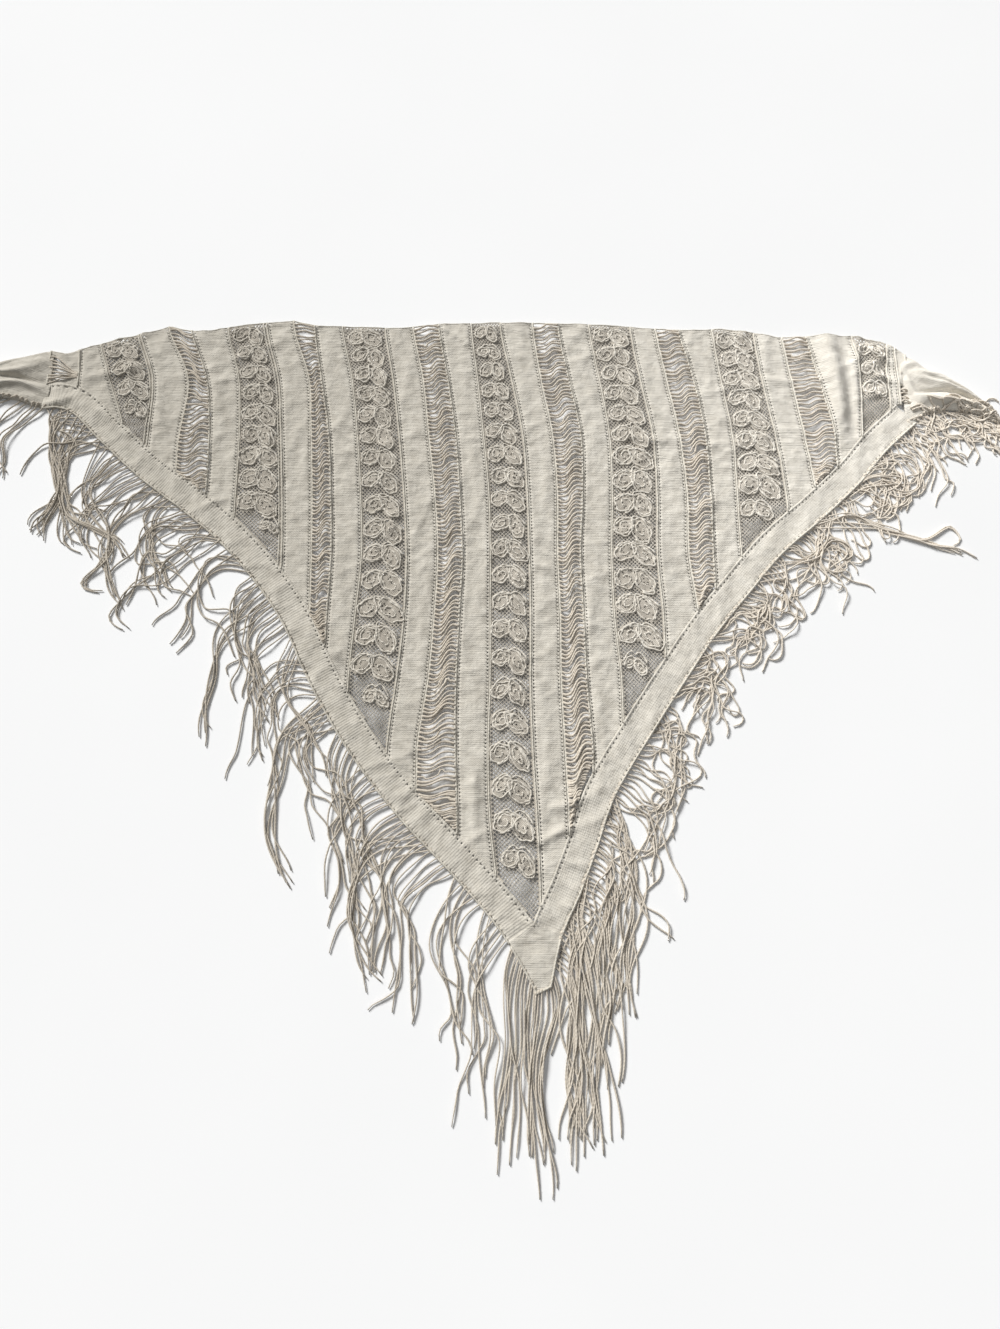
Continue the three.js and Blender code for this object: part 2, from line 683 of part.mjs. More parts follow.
// One strand as a four-sided tube, grown out of an open span in its strip's outer side.
function growStrand(wall, near, root, number, fall) {
  const line = strandLine(root, fall, number);
  const [low, high] = [wall.lower[0], wall.upper[0]];
  let ring = [low[near], low[near + 1], high[near + 1], high[near]];
  for (let step = 1; step < line.length; step += 1) {
    const before = line[step - 1];
    const after = line[Math.min(step + 1, line.length - 1)];
    const run = Math.hypot(after.x - before.x, after.y - before.y);
    const half = mix(STRAND_WIDTH, STRAND_TIP, step / STRAND_STEPS) / 2;
    const side = { x: (-(after.y - before.y) / run) * half, y: ((after.x - before.x) / run) * half };
    const lift = STRAND_RISE * Math.sin((Math.PI * step) / (STRAND_STEPS + 1)) ** 2;
    const corner = (sign, z) => {
      wall.places.push(line[step].x + sign * side.x, line[step].y + sign * side.y, z + lift);
      return wall.places.length / 3 - 1;
    };
    const next = [corner(-1, STRAND_LOW), corner(1, STRAND_LOW), corner(1, STRIP_TOP), corner(-1, STRIP_TOP)];
    for (let i = 0; i < 4; i += 1) {
      const j = (i + 1) % 4;
      wall.quad(ring[i], ring[j], next[j], next[i]);
    }
    ring = next;
  }
  wall.quad(ring[0], ring[1], ring[2], ring[3]);
}

const lowSide = (rows) => rows.map((row) => ({ x: row.x, y: row.low }));
const edges = {
  tail_left: lowSide(LEFT_TAIL),
  left: outer.leftOuter,
  tip: outer.tipOuter,
  right: outer.rightOuter,
  tail_right: lowSide(RIGHT_TAIL),
};
for (const [name, fringe] of Object.entries(FRINGES)) {
  place(`fringe_${name}`, fringeGeometry(edges[name], fringe), COLOURS.fringe);
}

export default shawl;
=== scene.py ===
"""The looks of a knitted triangle shawl that lies flat: knit, ladders, lace, border, tails and fringe.

The tables hold millimetres in the frame of the shawl's cut, where x runs along the neck edge and y
towards it. Finished meshes are in metres in the row frame, which is moved by the shawl's middle.
"""
import sys

import logging
import math
from dataclasses import dataclass, field
from enum import Enum
from typing import Callable, Iterable, Sequence

import bpy
import numpy as np
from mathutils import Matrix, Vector


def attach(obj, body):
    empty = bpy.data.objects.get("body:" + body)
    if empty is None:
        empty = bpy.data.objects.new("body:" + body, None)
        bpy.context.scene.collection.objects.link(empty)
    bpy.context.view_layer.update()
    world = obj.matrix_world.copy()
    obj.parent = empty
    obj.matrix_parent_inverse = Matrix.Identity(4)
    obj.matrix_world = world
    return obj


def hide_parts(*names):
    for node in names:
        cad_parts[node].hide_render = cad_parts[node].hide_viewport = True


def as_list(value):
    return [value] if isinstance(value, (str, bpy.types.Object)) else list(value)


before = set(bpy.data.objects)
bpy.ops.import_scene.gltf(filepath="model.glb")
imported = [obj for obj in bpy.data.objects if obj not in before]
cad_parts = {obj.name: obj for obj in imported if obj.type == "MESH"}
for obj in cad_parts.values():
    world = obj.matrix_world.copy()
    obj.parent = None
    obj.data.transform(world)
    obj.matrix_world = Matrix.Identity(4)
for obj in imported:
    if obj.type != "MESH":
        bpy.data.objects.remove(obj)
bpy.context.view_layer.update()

Array = np.ndarray
Colour = tuple[float, float, float, float]
Piece = bpy.types.Object
Material = bpy.types.Material
LOG = logging.getLogger("shawl")
TURN = 2 * math.pi

# Millimetres in the shawl's cut to metres in the row frame.
METRE = 0.001
MIDDLE = np.array((-51.0, -52.0, 0.0))

# The cloth
FABRIC = 1.2
CLOTH_LOW = 0.25
SEAM_GAP = 0.3
BORDER_WIDTH = 34.0
COURSES = (2.7, 1.7)
SNAP = 0.3
EDGE_BAR = 1.2
EYELET_TO = 2.8
LEVEL_TOP = 460.0
LEVEL_STEP = 80.0
LOWEST_Y = -340.0
HIGHEST_Y = 500.0

# Seams from left to right: the band to the right of each seam, and the seam's x at y = 460, 380,
# 300, 220, 140, 60, -20, -100, -180 and -260.
SEAMS = (
    ("ladder_0", (-590, -589)),
    ("plain_0", (-552, -546)),
    ("lace_1", (-532, -508, -481)),
    ("plain_1", (-474, -449, -449)),
    ("ladder_1", (-438, -406, -411, -410)),
    ("plain_2", (-406, -379, -370, -368)),
    ("lace_2", (-360, -340, -334, -333)),
    ("plain_3", (-306, -286, -278, -272, -268)),
    ("ladder_2", (-273, -249, -242, -237, -234, -232)),
    ("plain_4", (-243, -230, -217, -211, -207, -209)),
    ("lace_3", (-209, -193, -183, -176, -172, -177, -182)),
    ("plain_5", (-150, -137, -127, -119, -114, -115, -122, -131)),
    ("ladder_3", (-116, -101, -92, -83, -78, -81, -87, -98)),
    ("plain_6", (-79, -66, -55, -49, -45, -48, -51, -51, -48)),
    ("lace_4", (-39, -30, -22, -15, -13, -13, -13, -15, -13, -5)),
    ("plain_7", (2, 17, 31, 36, 38, 39, 38, 40, 44, 47)),
    ("ladder_4", (42, 52, 66, 71, 70, 72, 72, 75, 78)),
    ("plain_8", (78, 91, 105, 105, 101, 103, 105, 110)),
    ("lace_5", (116, 128, 139, 140, 137, 138, 144)),
    ("plain_9", (173, 184, 197, 199, 196, 200)),
    ("ladder_5", (203, 215, 228, 234, 232, 240)),
    ("plain_10", (236, 253, 264, 266, 265)),
    ("lace_6", (278, 286, 296, 297)),
    ("plain_11", (335, 342, 354, 361)),
    ("ladder_6", (368, 377, 388, 396)),
    ("plain_12", (402, 416, 429)),
    ("lace_7", (460, 466, 461)),
    ("plain_13", (510, 505)),
    ("ladder_7", (516, 515)),
    ("end", (531, 531)),
)

# The neck edge as x, y.
NECK_EDGE = (
    (-590, 424), (-568, 418), (-539, 429), (-507, 439), (-462, 451), (-434, 459), (-403, 452),
    (-377, 454), (-331, 462), (-272, 468), (-240, 460), (-185, 459), (-132, 457), (-79, 463),
    (0, 465), (106, 463), (159, 460), (205, 456), (250, 454), (291, 456), (330, 451), (369, 443),
    (415, 445), (462, 444), (501, 436), (519, 426), (533, 414),
)

# The border's outer edge as x, y: from the left tail down to the tip, and up to the right tail.
LEFT_EDGE = (
    (-590, 339), (-556, 336), (-512, 295), (-456, 243), (-395, 196), (-348, 156), (-300, 103),
    (-262, 48), (-233, -12), (-194, -80), (-157, -133), (-109, -190), (-57, -243), (-4, -302),
    (24, -345), (40, -374),
)
RIGHT_EDGE = (
    (57, -366), (70, -312), (92, -264), (112, -214), (132, -160), (183, -78), (226, -14),
    (264, 40), (304, 88), (348, 139), (402, 186), (455, 236), (491, 278), (534, 318),
)

# Cross-sections of the tails as x, low side, high side and rise.
LEFT_TAIL = (
    (-738, 372, 398, 5), (-722, 364, 403, 8), (-690, 359, 405, 11), (-655, 356, 406, 13),
    (-622, 351, 414, 12), (-602, 342, 421, 8), (-590, 340, 424, 4.5), (-583, 339, 422, 2.6),
)
RIGHT_TAIL = (
    (521, 314, 423, 2.6), (530, 318, 416, 5), (541, 327, 411, 10), (552, 334, 398, 12), (574, 337, 389, 13),
    (604, 334, 368, 12), (627, 326, 348, 9), (642, 313, 324, 5),
)


class Kind(Enum):
    """What a band is knitted as."""

    PLAIN = "plain"
    LACE = "lace"
    LADDER = "ladder"


def to_frame(points: Array) -> Array:
    """Millimetres in the shawl's cut as metres in the row frame: less the middle, times 0.001."""
    return (np.asarray(points, float) - MIDDLE) * METRE


def mix(a: Array | float, b: Array | float, share: Array | float) -> Array:
    """The value at a share of the way: a plus the difference times the share."""
    return a + (b - a) * share


def smooth_step(low: Array | float, high: Array | float, value: Array) -> Array:
    """0 below low, 1 above high, and three t squared less two t cubed between them."""
    t = np.clip((value - low) / (high - low), 0, 1)
    return t * t * (3 - 2 * t)


def smooth_values(values: Sequence[float], at: Array) -> Array:
    """A Catmull-Rom curve through values at equal steps, held level past the last one.

    Args:
        values: The values at 0, 1, 2 and so on.
        at: Where the curve is read.

    Returns:
        The curve's values.
    """
    table = np.asarray(values, float)
    last = len(table) - 1
    index = np.clip(np.floor(at).astype(int), 0, last - 1)
    t = np.minimum(at - index, 1.0)
    a, b, c, d = (table[np.clip(index + k, 0, last)] for k in (-1, 0, 1, 2))
    return b + 0.5 * t * (c - a + t * (2 * a - 5 * b + 4 * c - d + t * (3 * (b - c) + d - a)))


def along_line(line: Array) -> Array:
    """The length run at each point of a line: the running sum of its steps."""
    return np.concatenate(([0.0], np.cumsum(np.linalg.norm(np.diff(line, axis=0), axis=1))))


def read_line(line: Array, at: Array) -> Array:
    """The points of a line at given lengths along it, each coordinate worked out between its points."""
    run = along_line(line)
    return np.stack([np.interp(at, run, line[:, k]) for k in range(line.shape[1])], axis=-1)


def even_line(line: Array, step: float) -> Array:
    """The same line with points at even steps of about the given length."""
    total = along_line(line)[-1]
    return read_line(line, np.linspace(0, total, max(2, round(total / step) + 1)))


def smooth_line(rows: Sequence[Sequence[float]], step: float) -> Array:
    """Even points on a centripetal Catmull-Rom curve through rows of coordinates.

    Each stretch is a cubic whose end slopes come from the rows on both sides, weighted by the
    square root of the distances.

    Args:
        rows: The points that the curve passes through.
        step: The distance between the points that come back.

    Returns:
        Points as an array with a row each.
    """
    p = np.asarray(rows, float)
    p = np.vstack([2 * p[0] - p[1], p, 2 * p[-1] - p[-2]])
    gap = np.sqrt(np.linalg.norm(np.diff(p, axis=0), axis=1))[:, None]
    p0, p1, p2, p3 = p[:-3], p[1:-2], p[2:-1], p[3:]
    g0, g1, g2 = gap[:-2], gap[1:-1], gap[2:]
    m1 = ((p1 - p0) / g0 - (p2 - p0) / (g0 + g1) + (p2 - p1) / g1) * g1
    m2 = ((p2 - p1) / g1 - (p3 - p1) / (g1 + g2) + (p3 - p2) / g2) * g1
    t = np.linspace(0, 1, 17)[:-1][:, None, None]
    cubic = p1 + m1 * t + (3 * (p2 - p1) - 2 * m1 - m2) * t**2 + (2 * (p1 - p2) + m1 + m2) * t**3
    dense = np.vstack([cubic.transpose(1, 0, 2).reshape(-1, p.shape[1]), p[-2:-1]])
    return even_line(dense, step)


def left_of(line: Array) -> Array:
    """The unit normal to the left of a flat line at each point: its tangent turned by a quarter."""
    tangent = np.gradient(line[:, :2], axis=0)
    tangent /= np.linalg.norm(tangent, axis=1, keepdims=True)
    return np.stack([-tangent[:, 1], tangent[:, 0]], axis=1)


# The lie of the cloth


@dataclass(frozen=True)
class Crease:
    """A soft ridge along a line of the cut, in millimetres."""

    x1: float
    y1: float
    x2: float
    y2: float
    rise: float
    half: float
    bow: float = 0.0

    def height(self, x: Array, y: Array) -> Array:
        """A bell across the line, whose ends are rounded and whose middle bows to one side."""
        dx, dy = self.x2 - self.x1, self.y2 - self.y1
        length = math.hypot(dx, dy)
        along = ((x - self.x1) * dx + (y - self.y1) * dy) / length
        across = ((y - self.y1) * dx - (x - self.x1) * dy) / length
        share = np.clip(along / length, 0, 1)
        past = along - share * length
        off = across - self.bow * np.sin(np.pi * share)
        bell = np.exp(-1.7 * (off**2 + 0.4 * past**2) / self.half**2)
        return self.rise * (0.35 + 0.65 * np.sin(np.pi * share)) * bell


CREASES = tuple(Crease(*row) for row in (
    (426, 456, 436, 306, 12.5, 15, 4), (472, 452, 462, 300, 5.5, 8, -6), (470, 428, 508, 404, 3.6, 6, 3),
    (466, 396, 500, 412, 3.0, 6, -3), (474, 380, 514, 374, 3.4, 6, 4), (462, 350, 496, 366, 2.8, 6, -3),
    (-560, 356, -470, 300, 2.6, 8, 5), (-596, 344, -552, 356, 4.2, 6, -3), (-2, -250, 50, -312, 3.4, 7, 3),
    (100, -196, 150, -160, 2.4, 8, 3), (-520, 352, -440, 262, 2.4, 9, -4), (255, 356, 352, 371, 2.2, 7, 4),
    (340, 381, 430, 380, 2.6, 7, -4), (250, 281, 312, 290, 2.0, 7, 3), (-80, 458, -22, 411, 3.2, 7, 4),
    (144, 306, 230, 297, 2.4, 7, -7), (-228, 43, -187, -10, 3.4, 8, 4), (-373, 374, -338, 383, 2.4, 7, 2),
    (-378, 199, -337, 214, 2.2, 6, 2), (-48, -219, -8, -195, 2.2, 7, 2), (44, -175, 118, -149, 3.0, 8, -4),
    (46, -210, 92, -192, 4.2, 6, 3), (-6, -182, 48, -214, 4.8, 6, 3), (66, -228, 104, -244, 2.0, 7, 2),
    (43, -304, 69, -335, 1.6, 8, 2), (-34, -120, -29, -196, 3.4, 9, 3), (-544, 384, -456, 404, 3.2, 7, -4),
    (-300, 452, -262, 420, 1.6, 8, 3), (-448, 360, -424, 300, 1.8, 8, -4),
    (-302, 330, -286, 232, 1.5, 8, 3), (-236, 340, -220, 250, 1.4, 8, -3), (-136, 170, -118, 60, 1.5, 8, 4),
    (-34, 330, -26, 200, 1.6, 8, -3), (32, 250, 46, 130, 1.5, 8, 3), (20, 60, 48, -30, 1.6, 8, -4),
    (100, 420, 122, 340, 1.6, 8, 3), (118, 130, 108, 20, 1.5, 8, -3), (180, 180, 208, 90, 1.6, 8, 4),
    (218, 430, 262, 404, 1.6, 7, 3), (268, 220, 252, 130, 1.5, 8, -3), (396, 300, 420, 262, 1.8, 8, 3),
    (-420, 250, -350, 218, 1.6, 8, -3), (-250, 60, -190, -40, 1.4, 9, 4), (150, -60, 196, 0, 1.5, 9, 4),
    (-500, 430, -470, 330, 2.0, 7, 5), (486, 420, 505, 350, 3.0, 7, -4), (470, 330, 512, 352, 2.0, 7, 3),
))


@dataclass(frozen=True)
class Drape:
    """How the cloth lies: placed creases over a fine crumple."""

    creases: tuple[Crease, ...] = CREASES
    seed: int = 7
    wave_count: int = 16
    shortest: float = 12.0
    longest: float = 50.0
    steepness: float = 0.03
    peak: float = 1.6

    def crumple(self, x: Array, y: Array) -> Array:
        """Folded sine waves in many directions, each bent by the next, with peaks at their creases."""
        draw = np.random.default_rng(self.seed)
        total = np.zeros(np.broadcast(x, y).shape)
        bend = 5 * np.sin(x / 31 + 1.3 * np.sin(y / 47)) + 4 * np.sin(y / 23)
        for _ in range(self.wave_count):
            length = draw.uniform(self.shortest, self.longest)
            angle, phase = draw.uniform(0, np.pi), draw.uniform(0, TURN)
            run = (x * math.cos(angle) + y * math.sin(angle) + bend) * np.pi / length + phase
            patch = 0.5 + 0.5 * np.sin(x / 67 + phase * 3) * np.sin(y / 59 + phase * 5)
            total += self.steepness * length * (1 - np.abs(np.sin(run))) ** self.peak * patch
        return total

    def height(self, x: Array, y: Array) -> Array:
        """The underside's height over the surface: the crumple and the sum of the creases."""
        return CLOTH_LOW + self.crumple(x, y) + sum(crease.height(x, y) for crease in self.creases)


DRAPE = Drape()


def lay(x: Array, y: Array, over: Array | float = 0.0) -> Array:
    """Points of the cut laid on the drape: x, y and the drape's height there plus a height over it."""
    return np.stack(np.broadcast_arrays(x, y, DRAPE.height(x, y) + over), axis=-1)


# Meshes from arrays

# A beaded cord swells by this share of its radius at every other point.
BEAD_SWELL = 0.16


@dataclass
class Patch:
    """Faces over shared points, with a texture place for each corner of each face."""

    points: Array
    quads: Array
    tris: Array
    quad_uv: Array
    tri_uv: Array

    @staticmethod
    def of_faces(points: Array, quads: Array, uv: Array, tris: Array | None = None) -> "Patch":
        """A patch whose corners take their texture place from their point. Faces with two corners
        on one point become triangles, and faces with no area go.

        Args:
            points: Places in millimetres, one row each.
            quads: Four point numbers a row.
            uv: The texture place of each point.
            tris: Three point numbers a row.

        Returns:
            The patch.
        """
        quads = np.asarray(quads, int).reshape(-1, 4)
        tris = np.zeros((0, 3), int) if tris is None else np.asarray(tris, int).reshape(-1, 3)
        same = quads == np.roll(quads, -1, axis=1)
        whole = quads[same.sum(1) == 0]
        thin = quads[same.sum(1) == 1]
        keep = ~same[same.sum(1) == 1]
        tris = np.vstack([tris, thin[keep].reshape(-1, 3)])
        bad = (tris == np.roll(tris, -1, axis=1)).any(1)
        tris = tris[~bad]
        return Patch(points, whole, tris, uv[whole], uv[tris])

    def thickened(self, down: float) -> "Patch":
        """A closed shell: the patch, its copy turned over and moved down, and a wall round every rim.

        An edge that one face alone uses, found by looking for its reverse, is a rim.
        """
        count = len(self.points)
        under = self.points - np.array((0, 0, down))
        pairs = [self.quads[:, [k, (k + 1) % 4]] for k in range(4)]
        pair_uv = [self.quad_uv[:, [k, (k + 1) % 4]] for k in range(4)]
        pairs += [self.tris[:, [k, (k + 1) % 3]] for k in range(3)]
        pair_uv += [self.tri_uv[:, [k, (k + 1) % 3]] for k in range(3)]
        edges, edge_uv = np.vstack(pairs), np.vstack(pair_uv)
        key = edges[:, 0] * count + edges[:, 1]
        rim = ~np.isin(edges[:, 1] * count + edges[:, 0], key)
        a, b = edges[rim].T
        wall = np.stack([a, a + count, b + count, b], axis=1)
        wall_uv = edge_uv[rim][:, [0, 0, 1, 1]]
        return Patch(
            np.vstack([self.points, under]),
            np.vstack([self.quads, self.quads[:, ::-1] + count, wall]),
            np.vstack([self.tris, self.tris[:, ::-1] + count]),
            np.vstack([self.quad_uv, self.quad_uv[:, ::-1], wall_uv]),
            np.vstack([self.tri_uv, self.tri_uv[:, ::-1]]),
        )

    def area(self) -> float:
        """The faces' area seen from above, in square metres: half the cross product of diagonals."""
        quad, tri = self.points[self.quads][..., :2], self.points[self.tris][..., :2]
        p, q = quad[:, 2] - quad[:, 0], quad[:, 3] - quad[:, 1]
        u, v = tri[:, 1] - tri[:, 0], tri[:, 2] - tri[:, 0]
        total = np.abs(p[:, 0] * q[:, 1] - p[:, 1] * q[:, 0]).sum()
        total += np.abs(u[:, 0] * v[:, 1] - u[:, 1] * v[:, 0]).sum()
        return float(total) / 2 * METRE**2


def cells(number: Array) -> Array:
    """The four corners of each cell in a grid of point numbers, all turned the same way."""
    return np.stack([number[:-1, :-1], number[1:, :-1], number[1:, 1:], number[:-1, 1:]], axis=-1)


def joined(patches: Iterable[Patch]) -> Patch:
    """One patch from several: their points in a row, and their faces counted on."""
    patches = list(patches)
    starts = np.cumsum([0] + [len(p.points) for p in patches])
    return Patch(
        np.vstack([p.points for p in patches]),
        np.vstack([p.quads + s for p, s in zip(patches, starts)]),
        np.vstack([p.tris + s for p, s in zip(patches, starts)]),
        np.vstack([p.quad_uv for p in patches]),
        np.vstack([p.tri_uv for p in patches]),
    )


def tubes(
    paths: Array, radius: Array | float, sides: int, ply: float = 0.0, lay_length: float = 9.0
) -> Patch:
    """Round or two-ply cords along many paths of the same number of points, closed at both ends.

    Each ring stands square to its path, with one axis level. Its radius swells twice a turn by the
    share ply, and the swelling turns once round in lay_length millimetres, as twisted plies do.

    Args:
        paths: Places, shaped cords, points, 3.
        radius: Millimetres, a number or an array shaped cords, points.
        sides: Corners of each ring.
        ply: How far the two plies stand out, as a share of the radius.
        lay_length: Millimetres of cord in a whole twist.

    Returns:
        The patch. Its texture place is the share round the ring and the millimetres along.
    """
    paths = np.asarray(paths, float)
    cords, count = paths.shape[:2]
    radius = np.broadcast_to(np.asarray(radius, float), (cords, count))
    tangent = np.gradient(paths, axis=1)
    tangent /= np.linalg.norm(tangent, axis=2, keepdims=True) + 1e-9
    side = np.cross(tangent, (0.0, 0.0, 1.0))
    side /= np.linalg.norm(side, axis=2, keepdims=True) + 1e-9
    up = np.cross(side, tangent)
    steps = np.linalg.norm(np.diff(paths, axis=1), axis=2)
    run = np.concatenate([np.zeros((cords, 1)), np.cumsum(steps, axis=1)], axis=1)
    angle = TURN * np.arange(sides) / sides
    twist = TURN * run[..., None] / lay_length
    swell = radius[..., None] * (1 + ply * np.cos(2 * angle - twist))
    ring = (
        paths[:, :, None]
        + swell[..., None] * np.cos(angle)[:, None] * side[:, :, None]
        + swell[..., None] * np.sin(angle)[:, None] * up[:, :, None]
    )
    number = np.arange(cords * count * sides).reshape(cords, count, sides)
    around = np.roll(number, -1, axis=2)
    quads = np.stack([number[:, :-1], around[:, :-1], around[:, 1:], number[:, 1:]], axis=-1)
    u0 = np.broadcast_to(np.arange(sides) / sides, (cords, count - 1, sides))
    v0 = np.broadcast_to(run[:, :-1, None], u0.shape)
    v1 = np.broadcast_to(run[:, 1:, None], u0.shape)
    u1 = u0 + 1 / sides
    corner = [np.stack(pair, axis=-1) for pair in ((u0, v0), (u1, v0), (u1, v1), (u0, v1))]
    quad_uv = np.stack(corner, axis=-2)
    ends = cords * count * sides + np.arange(2 * cords).reshape(cords, 2)
    first = np.stack([around[:, 0], number[:, 0], np.broadcast_to(ends[:, :1], (cords, sides))], axis=-1)
    last = np.stack([number[:, -1], around[:, -1], np.broadcast_to(ends[:, 1:], (cords, sides))], axis=-1)
    tips = paths[:, [0, -1]].reshape(-1, 3)
    tris = np.concatenate([first.reshape(-1, 3), last.reshape(-1, 3)])
    return Patch(
        np.vstack([ring.reshape(-1, 3), tips]),
        quads.reshape(-1, 4),
        tris,
        quad_uv.reshape(-1, 4, 2),
        np.zeros((len(tris), 3, 2)),
    )


def beaded(path: Array, radius: float) -> Patch:
    """A cord whose radius swells and shrinks in turn from point to point."""
    return tubes(path[None], radius * (1 + BEAD_SWELL * np.cos(np.pi * np.arange(len(path)))), 5)


def finished(name: str, layers: Sequence[tuple[Patch, Material]]) -> Piece:
    """One object from patches, each with its own material, its points brought to the row frame.

    Args:
        name: The piece's name.
        layers: Patches and their materials.

    Returns:
        The object, linked to the scene, with smooth faces and the map named cloth.
    """
    patch = joined(layer for layer, _ in layers)
    used = np.unique(np.concatenate([patch.quads.ravel(), patch.tris.ravel()]))
    number = np.zeros(len(patch.points), int)
    number[used] = np.arange(len(used))
    places = to_frame(patch.points[used])
    mesh = bpy.data.meshes.new(name)
    corners = np.concatenate([number[patch.quads].ravel(), number[patch.tris].ravel()])
    sizes = np.concatenate([np.full(len(patch.quads), 4), np.full(len(patch.tris), 3)])
    mesh.vertices.add(len(places))
    mesh.vertices.foreach_set("co", places.astype(np.float32).ravel())
    mesh.loops.add(len(corners))
    mesh.loops.foreach_set("vertex_index", corners.astype(np.int32))
    mesh.polygons.add(len(sizes))
    mesh.polygons.foreach_set("loop_start", (np.cumsum(sizes) - sizes).astype(np.int32))
    quads = [np.full(len(layer.quads), k) for k, (layer, _) in enumerate(layers)]
    tris = [np.full(len(layer.tris), k) for k, (layer, _) in enumerate(layers)]
    mesh.polygons.foreach_set("material_index", np.concatenate(quads + tris).astype(np.int32))
    mesh.polygons.foreach_set("use_smooth", np.ones(len(sizes), bool))
    cloth_map = mesh.uv_layers.new(name="cloth")
    flat = np.concatenate([patch.quad_uv.reshape(-1, 2), patch.tri_uv.reshape(-1, 2)])
    cloth_map.data.foreach_set("uv", flat.astype(np.float32).ravel())
    for _, material in layers:
        mesh.materials.append(material)
    mesh.update(calc_edges=True)
    piece = bpy.data.objects.new(name, mesh)
    bpy.context.scene.collection.objects.link(piece)
    return piece


def wear(piece: Piece, node: str) -> None:
    """Let a piece ride on the one body, hide the node that it replaces, and log its faces."""
    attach(piece, "root")
    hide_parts(node)
    LOG.info("%s: %d faces", piece.name, len(piece.data.polygons))


def spread(
    piece: Piece, flat: tuple[float, float], area: float, on_it: Sequence[Piece], held: str = "laid"
) -> None:
    """Say what a sheet was cut to.

    Args:
        piece: The cloth.
        flat: Its flat width and length in metres.
        area: Its flat area in square metres, at most the width times the length.
        on_it: Pieces that lie or hang on it.
        held: How it is held. Not used.
    """
    min(area, flat[0] * flat[1])
    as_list(on_it)
    LOG.info("%s: cut %.0f by %.0f mm", piece.name, flat[0] / METRE, flat[1] / METRE)


# Finishes


class Term:
    """A value in a shader, whose sums and products add their own Math nodes."""

    def __init__(self, graph: "Graph", socket: bpy.types.NodeSocket) -> None:
        """Keep the graph and the socket that carries the value."""
        self.graph, self.socket = graph, socket

    def _math(self, operation: str, *values: "Term | float") -> "Term":
        """A Math node of one operation on the values."""
        return self.graph.node("ShaderNodeMath", {"operation": operation}, dict(enumerate(values)))

    def __add__(self, other: "Term | float") -> "Term":
        """The sum."""
        return self._math("ADD", self, other)

    __radd__ = __add__

    def __sub__(self, other: "Term | float") -> "Term":
        """The difference."""
        return self._math("SUBTRACT", self, other)

    def __rsub__(self, other: float) -> "Term":
        """The difference from a number."""
        return self._math("SUBTRACT", other, self)

    def __mul__(self, other: "Term | float") -> "Term":
        """The product."""
        return self._math("MULTIPLY", self, other)

    __rmul__ = __mul__

    def __truediv__(self, other: "Term | float") -> "Term":
        """The quotient."""
        return self._math("DIVIDE", self, other)

    def sine(self) -> "Term":
        """The sine, in radians."""
        return self._math("SINE", self)

    def size(self) -> "Term":
        """The value without its sign."""
        return self._math("ABSOLUTE", self)

    def wave(self, period: float) -> "Term":
        """A zigzag that runs from 0 to 1 and back once in a period."""
        return self._math("PINGPONG", self / (period / 2), 1.0)


class Graph:
    """The node tree of one material."""

    def __init__(self, name: str) -> None:
        """Make the material and empty its tree."""
        self.material = bpy.data.materials.new(name)
        self.material.use_nodes = True
        self.tree = self.material.node_tree
        self.tree.nodes.clear()

    def node(self, kind: str, settings: dict, inputs: dict, output: int | str = 0) -> Term:
        """Any node.

        Args:
            kind: The node's type.
            settings: Its own settings, set first.
            inputs: Values or links by the name or number of the socket.
            output: The output to give back.

        Returns:
            That output as a term.
        """
        made = self.tree.nodes.new(kind)
        for key, value in settings.items():
            setattr(made, key, value)
        for key, value in inputs.items():
            if isinstance(value, Term):
                self.tree.links.new(value.socket, made.inputs[key])
            else:
                made.inputs[key].default_value = value
        return Term(self, made.outputs[output])

    def mix_colour(
        self, factor: Term | float, first: Term | Colour, second: Term | Colour, blend: str = "MIX"
    ) -> Term:
        """Two colours blended by a factor."""
        sockets = {0: factor, 6: first, 7: second}
        return self.node("ShaderNodeMix", {"data_type": "RGBA", "blend_type": blend}, sockets, 2)

    def noise(self, scale: float, detail: float = 2.0, place: Term | None = None) -> Term:
        """Noise over a place, or else over the object's own coordinates."""
        place = place or self.node("ShaderNodeTexCoord", {}, {}, "Object")
        return self.node("ShaderNodeTexNoise", {}, {"Vector": place, "Scale": scale, "Detail": detail}, "Fac")

    def finish(self, shader: Term) -> Material:
        """Link the shader to the output, and give the material back."""
        out = self.tree.nodes.new("ShaderNodeOutputMaterial")
        self.tree.links.new(shader.socket, out.inputs["Surface"])
        return self.material


def linear(red: int, green: int, blue: int) -> Colour:
    """A screen colour of 0 to 255 as linear light: the share to the power 2.2."""
    return (*((c / 255) ** 2.2 for c in (red, green, blue)), 1.0)


# Painted light falloff: the yarn's colour is multiplied by these at the left and the right end, so
# that the left end is painted in shade and the right end painted lighter. What mixes them is the
# square of the metres to the right times the slope, plus the middle value.
LEFT_PAINTED_SHADE = (0.66, 0.648, 0.619, 1.0)
RIGHT_PAINTED_LIGHT = (1.18, 1.18, 1.18, 1.0)
PAINTED_FALLOFF_SLOPE = 0.8
PAINTED_FALLOFF_MIDDLE = 0.5


